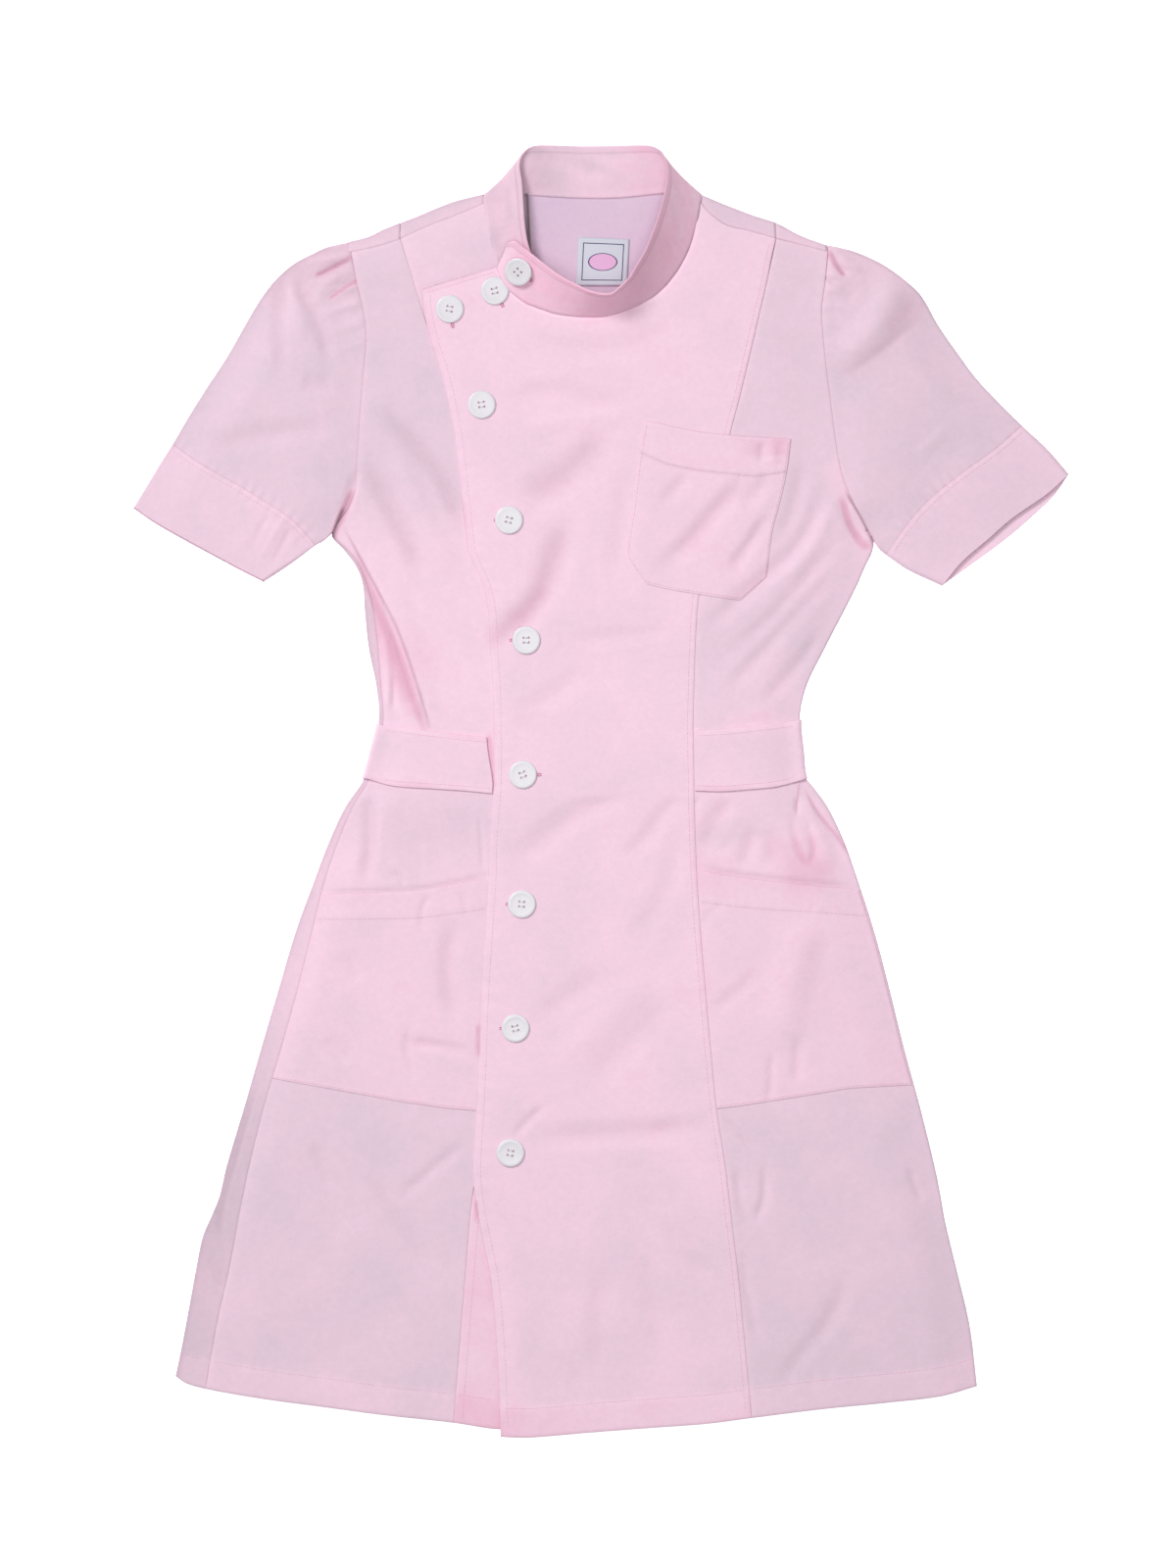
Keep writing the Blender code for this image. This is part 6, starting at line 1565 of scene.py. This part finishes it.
def makeLabel():
    lowLeft, lowRight, highRight, highLeft = (np.array(corner) for corner in label["corners"])
    across, up = np.linspace(0, 1, 24), np.linspace(0, 1, 22)
    flat = patch(lerp(lowLeft, highLeft, up[:, None]), lerp(lowRight, highRight, up[:, None]),
                 lerp(lowLeft, lowRight, across[:, None]), lerp(highLeft, highRight, across[:, None]),
                 across, up)[::-1]
    down = up[::-1][:, None]
    bend = 0.5 * np.sin(np.pi * across)[None] + 0.2 * (1 - down)
    grain = stacked((across[None] - 0.5) * label["size"][0], (down - 0.5) * label["size"][1])
    places = np.concatenate([flat, (label["height"] + bend)[..., None]], -1)
    piece = gridObject("neck_label_weave", places, grain, labelWeave, label["wall"])
    keepPiece(piece, "neck_label")


makeLabel()

# Buttons: place, which piece they lie on, and the direction and reach of the buttonhole under each.
button = {
    "profile": ((0.0, 0.0), (9.4, 0.0), (10.05, 0.25), (10.2, 0.6), (10.15, 0.95), (9.85, 1.25), (9.2, 1.46),
                (8.4, 1.52), (7.8, 1.48), (7.2, 1.36), (6.6, 1.28), (4.0, 1.24), (0.0, 1.24)),
    "segments": 40, "holeRadius": 0.85, "holePlace": 1.75, "sharp": 50,
    "rest": 0.03, "thick": 1.5, "rests": (0, 4, 7, 9.5),    # where its underside feels for cloth
    "spin": (17, 40),       # degrees that each is turned on from the one before, and within
    "places": ((-59.1, 375.7, "collar", -38, 12.0), (-76.9, 361.9, "flap", -62, 13.2),
               (-109.5, 348.8, "flap", -80, 13.8), (-86.4, 279.6, "flap", 180, 9.5),
               (-66.6, 196.1, "flap", 180, 10.8), (-54.1, 109.2, "flap", 180, 12.0),
               (-56.6, 11.9, "flap", 0, 13.4), (-57.3, -81.8, "flap", 180, 11.5),
               (-61.9, -171.6, "flap", 180, 11.5), (-65.5, -261.8, "flap", 180, 9.5)),
    # height and radius of the thread, and half the distance of its two strands
    "threadHeight": 1.36, "threadRadius": 0.3, "strand": 0.28,
}
buttonhole = {
    "step": 0.55, "radius": 0.3,
    "past": 4.0,                        # how far the slit runs on past the button's middle
    "slit": 0.25, "lip": 1.25, "endLip": 0.9,       # from the slit's middle to its edge and to its lips
    "collarDrop": 1.7,                  # from the button's middle down to the band's cloth
    "lifts": (0.12, 0.05),              # over the cloth, at the slit and at the lip
}


def carve(blank, x, y):
    # one of the button's holes, at x and y in metres
    cut = bmesh.new()
    radius = button["holeRadius"] * mm
    bmesh.ops.create_cone(cut, cap_ends=True, segments=16, radius1=radius, radius2=radius, depth=8 * mm)
    bmesh.ops.translate(cut, verts=cut.verts, vec=(x, y, 0))
    cutter = newObject("cutter", meshData("cutter", cut))
    hole = blank.modifiers.new("hole", "BOOLEAN")
    hole.object = cutter
    hole.solver = "EXACT"
    carved = evaluatedMesh(blank)
    blank.modifiers.clear()
    blank.data = carved
    bpy.data.objects.remove(cutter, do_unlink=True)


def sortedMesh(data):       # the boolean's order differs from run to run, so vertices go by place
    places = [tuple(vertex.co) for vertex in data.vertices]
    order = sorted(range(len(places)), key=lambda index: [round(part, 8) for part in places[index]])
    number = {old: new for new, old in enumerate(order)}
    faces = []
    for face in data.polygons:
        corners = [number[index] for index in face.vertices]
        first = corners.index(min(corners))
        faces.append(corners[first:] + corners[:first])
    fresh = bpy.data.meshes.new(data.name)
    fresh.from_pydata([places[index] for index in order], [], sorted(faces))
    return fresh


def buttonBlank():
    mesh = bmesh.new()
    chain = [mesh.verts.new((radius * mm, 0, height * mm)) for radius, height in button["profile"]]
    edges = [mesh.edges.new(pair) for pair in zip(chain, chain[1:])]
    bmesh.ops.spin(mesh, geom=chain + edges, cent=(0, 0, 0), axis=(0, 0, 1), angle=2 * math.pi,
                   steps=button["segments"], use_merge=True)
    bmesh.ops.remove_doubles(mesh, verts=mesh.verts, dist=0.01 * mm)
    bmesh.ops.recalc_face_normals(mesh, faces=mesh.faces)
    blank = newObject("button", meshData("button", mesh))
    reach = button["holePlace"] * math.sqrt(2) * mm
    for turn in range(4):
        angle = math.pi / 4 + turn * math.pi / 2
        carve(blank, reach * math.cos(angle), reach * math.sin(angle))
    blank.data = sortedMesh(blank.data)
    blank.data.shade_smooth()
    blank.data.set_sharp_from_angle(angle=math.radians(button["sharp"]))
    return blank


def treeOf(piece):
    bpy.context.view_layer.update()
    return BVHTree.FromObject(piece, bpy.context.evaluated_depsgraph_get())


def topOf(tree, x, y):
    hit = tree.ray_cast(Vector((x * mm, y * mm, 1.0)), Vector((0, 0, -1)))[0]
    return hit.z / mm if hit else None


def collarPlace(x, y):      # place and normal on the band's closing end
    seam, rise, normal, _ = collarShape
    spots = [(seam[index] + rise[index] * share, normal[index])
             for index in range(int(0.7 * len(seam)), len(seam)) for share in np.linspace(0.1, 0.9, 33)]
    spot, turned = min(spots, key=lambda found: math.hypot(found[0][0] - x, found[0][1] - y))
    return Vector(spot), Vector(turned if turned[2] > 0 else -turned)


def threadNodes():
    # draws a small ball out along each stitch
    tree = bpy.data.node_groups.new("sewn", "GeometryNodeTree")
    tree.interface.new_socket("Stitches", in_out="INPUT", socket_type="NodeSocketGeometry")
    tree.interface.new_socket("Thread", in_out="OUTPUT", socket_type="NodeSocketGeometry")
    ball = addNode(tree, "GeometryNodeMeshUVSphere", {"Segments": 6, "Rings": 4, "Radius": 1.0})
    turn = addNode(tree, "GeometryNodeInputNamedAttribute", {"Name": "turn"}, data_type="QUATERNION")
    size = addNode(tree, "GeometryNodeInputNamedAttribute", {"Name": "size"}, data_type="FLOAT_VECTOR")
    placed = addNode(tree, "GeometryNodeInstanceOnPoints", {
        "Points": addNode(tree, "NodeGroupInput").outputs[0], "Instance": ball.outputs["Mesh"],
        "Rotation": turn.outputs["Attribute"], "Scale": size.outputs["Attribute"]})
    whole = addNode(tree, "GeometryNodeRealizeInstances", {"Geometry": placed.outputs[0]})
    addNode(tree, "NodeGroupOutput", {0: whole.outputs[0]})
    return tree


sewnNodes = threadNodes()


def threadPiece(name, stitches, material):      # stitches are (start, end, radius)
    data = bpy.data.meshes.new(name)
    data.vertices.add(len(stitches))
    places, turns, sizes = [], [], []
    for start, end, radius in stitches:
        direction = end - start
        places.extend((start + end) / 2 * mm)
        turns.extend(direction.to_track_quat("Z", "Y"))
        sizes.extend((radius * mm, radius * mm, (direction.length / 2 + radius * 0.4) * mm))
    data.vertices.foreach_set("co", places)
    data.attributes.new("turn", "QUATERNION", "POINT").data.foreach_set("value", turns)
    data.attributes.new("size", "FLOAT_VECTOR", "POINT").data.foreach_set("vector", sizes)
    piece = newObject(name, data)
    piece.modifiers.new("sewn", "NODES").node_group = sewnNodes
    threads = evaluatedMesh(piece)
    piece.modifiers.clear()
    piece.data = threads
    finish(piece, material)
    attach(piece, "root")
    pieces[name] = piece


def restPlace(tree, x, y, on):
    # where a button lies: on the band's slope, or over the highest cloth under it
    if on == "collar":
        spot, normal = collarPlace(x, y)
        return spot + normal * (collarBand["wall"] / 2 + button["thick"]), normal
    spots = [(x + reach * math.cos(turn), y + reach * math.sin(turn))
             for turn in np.linspace(0, 2 * math.pi, 20) for reach in button["rests"]]
    found = [height for height in (topOf(tree, *place) for place in spots) if height is not None]
    return Vector((x, y, max(found) + button["rest"])), Vector((0, 0, 1))


def buttonThreads(turn):    # two strands through each pair of holes
    reach, shift, high = button["holePlace"], button["strand"], button["threadHeight"]
    for row in (-reach, reach):
        for strand in (row - shift, row + shift):
            ends = [turn @ (Vector((side * reach, strand, high)) * mm) / mm for side in (-1, 1)]
            yield (*ends, button["threadRadius"])


def buttonholeStitches(x, y, on, aim, reach, tree, spot, normal):
    # satin stitches across both lips of a slit that starts under the button
    direction = Vector((math.cos(math.radians(aim)), math.sin(math.radians(aim)), 0))
    side = Vector((-direction.y, direction.x, 0))
    for step in range(int((reach + buttonhole["past"]) / buttonhole["step"])):
        place = Vector((x, y, 0)) + direction * (reach - step * buttonhole["step"])
        lip = buttonhole["lip"] if step > 1 else buttonhole["endLip"]
        for way in (-1, 1):
            near, far = (place + side * way * out for out in (buttonhole["slit"], lip))
            if on == "collar":
                base = spot.z - buttonhole["collarDrop"]
                ground = [base - (normal.x * (end.x - x) + normal.y * (end.y - y)) / normal.z
                          for end in (near, far)]
            else:
                ground = [topOf(tree, end.x, end.y) for end in (near, far)]
            if None not in ground:
                near.z, far.z = (low + lift for low, lift in zip(ground, buttonhole["lifts"]))
                yield near, far, buttonhole["radius"]


def makeButtons():
    blank = buttonBlank()
    tree = treeOf(pieces["front_flap_cloth"])
    spinStep, spinRange = button["spin"]
    threads, holes = [], []
    for number, (x, y, on, aim, reach) in enumerate(button["places"], start=1):
        spot, normal = restPlace(tree, x, y, on)
        spin = Matrix.Rotation(math.radians(spinStep * number % spinRange - spinRange / 2), 4, "Z")
        turn = normal.to_track_quat("Z", "Y").to_matrix().to_4x4() @ spin
        turn.translation = spot * mm
        item = newObject(f"button_{number:02d}_plastic", blank.data.copy())
        item.data.transform(turn)
        item.data.materials.clear()
        item.data.materials.append(plastic)
        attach(item, "root")
        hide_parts(f"button_{number:02d}")
        threads.extend(buttonThreads(turn))
        holes.extend(buttonholeStitches(x, y, on, aim, reach, tree, spot, normal))
    bpy.data.objects.remove(blank, do_unlink=True)
    threadPiece("button_threads", threads, buttonThread)
    threadPiece("buttonhole_stitching", holes, holeThread)


makeButtons()
print("buttons ready")


# Topstitching: length of a stitch, gap to the next, thickness, and height over the cloth.
stitch = {"length": 2.5, "gap": 0.7, "radius": 0.2, "lift": 0.08, "steepest": 1.5}


def stitchesAlong(tree, line):
    line = np.array(line)
    walked = walkedAlong(line)
    for start in np.arange(0.5, walked[-1] - stitch["length"], stitch["length"] + stitch["gap"]):
        spots = [[np.interp(at, walked, column) for column in line.T]
                 for at in (start, start + stitch["length"])]
        tops = [topOf(tree, *spot) for spot in spots]
        if None not in tops and abs(tops[0] - tops[1]) < stitch["steepest"]:
            ends = [Vector((*spot, top + stitch["lift"])) for spot, top in zip(spots, tops)]
            yield (*ends, stitch["radius"])


def sew(name, pieceName, seams):
    tree = treeOf(pieces[pieceName])
    stitches = [each for line in seams for each in stitchesAlong(tree, line)]
    threadPiece("stitching_" + name, stitches, thread)


def hemLine(line, fromX, toX):
    x = np.arange(fromX, toX, 3.0)
    return stacked(x, valueAt(line, x) + hem["depth"])


def sewPocket(side):
    rule = pockets["breast" if side == "breast" else "hip"]
    places, rows = pocketPlaces[side], shares(rule["tall"])[0] * rule["tall"]
    seams = [places[np.argmin(np.abs(rows - down))][3:-3] for down in (rule["band"], rule["tall"] - 2.0)]
    if side == "breast":
        seams += [places[4:-2, 3], places[4:-2, -4]]
    sew("pocket_" + side, ("breast_pocket" if side == "breast" else "hip_pocket_" + side) + "_cloth", seams)


def makeStitching():
    sew("flap", "front_flap_cloth", [
        lineOf("princessRight", 396.0, -4.2), lineOf("flapEdge", 360.0, 5.5, hem["flapLine"]),
        hemLine(hem["flapLine"], -70.0, 106.0), smoothLine([(-77.0, 375.6), (-127.0, 360.4)])])
    sew("side_left", "side_front_left_cloth", [hemLine(hem["line"], -284.0, -105.0)])
    sew("underlap", "underlap_cloth",
        [lineOf("princessLeft", -290.0, 6.0), hemLine(hem["line"], -104.0, -76.0)])
    sew("side_right", "side_front_right_cloth", [hemLine(hem["line"], 110.0, 270.0)])
    sew("back_left", "side_back_left_cloth", [hemLine(hem["line"], -304.0, -288.0)])
    for side in ("left", "right", "breast"):
        sewPocket(side)
    seams = []
    for name, fromX, toX in (("frontLeft", -79.5, -158.0), ("frontRight", 69.0, 140.0)):
        x = np.linspace(fromX, toX, 30)
        seams += [stacked(x, beltY(name, x, up)) for up in (0.085, 0.915)]
    sew("belt", "belt_cloth", seams)
    part = np.linspace(0.02, 0.98, 50)
    for side, rule in sleeves.items():
        sew("cuff_" + side, "cuff_" + side + "_cloth",
            [lerp(along(rule["bandSeam"], part), along(rule["bandEdge"], part), 0.07)])


makeStitching()
print("stitching ready")


studio = {
    "frameSize": (1200, 1600), "pixel": 0.71, "middle": (613.25, 807.25),   # pixels, and mm to a pixel
    "distance": 5.0,
    "lamps": {"key": {"place": (-4.4, 4.2, 6.4), "size": 3.0, "power": 430.0},
              "fill": {"place": (-0.03, 0.06, 1.3), "size": 0.9, "power": 5.7}},
    "sky": 0.36, "skyColour": (0.985, 0.99, 1.0, 1),
    "floorSize": 6.0, "floorDrop": 0.0002, "floorColour": (0.92, 0.92, 0.92, 1), "floorGlow": 0.8,
}


def makeFloor():
    mesh = bmesh.new()
    bmesh.ops.create_grid(mesh, x_segments=4, y_segments=4, size=studio["floorSize"])
    bmesh.ops.translate(mesh, verts=mesh.verts, vec=(0, 0, -studio["floorDrop"]))
    material, tree, shader = newMaterial("paleFloor")
    feed(tree, shader, {"Base Color": studio["floorColour"], "Roughness": 0.9,
                        "Emission Color": (1.0, 1.0, 1.0, 1), "Emission Strength": studio["floorGlow"]})
    floor = newObject("floor", meshData("floor", mesh))
    finish(floor, material)


def addLamp(name, rule):
    light = bpy.data.lights.new(name, "AREA")
    light.shape = "DISK"
    light.size = rule["size"]
    light.energy = rule["power"]
    lamp = newObject(name, light)
    lamp.location = rule["place"]
    lamp.rotation_euler = (-Vector(rule["place"])).to_track_quat("-Z", "Y").to_euler()


def addCamera():
    camera = bpy.data.cameras.new("overhead")
    camera.sensor_fit = "AUTO"
    wide, tall = studio["frameSize"]
    middleX, middleY = studio["middle"]
    pixel = studio["pixel"] * mm
    camera.lens = camera.sensor_width * studio["distance"] / (tall * pixel)
    eye = newObject("overhead", camera)
    eye.location = ((wide / 2 - middleX) * pixel, (middleY - tall / 2) * pixel, studio["distance"])
    bpy.context.scene.camera = eye


def makeStudio():
    makeFloor()
    for name, rule in studio["lamps"].items():
        addLamp(name, rule)
    world = bpy.data.worlds.new("studio")
    world.use_nodes = True
    tree = world.node_tree
    feed(tree, tree.nodes["Background"], {"Color": studio["skyColour"], "Strength": studio["sky"]})
    bpy.context.scene.world = world
    addCamera()
    bpy.context.scene.view_settings.view_transform = "Standard"


makeStudio()
print("scene ready")
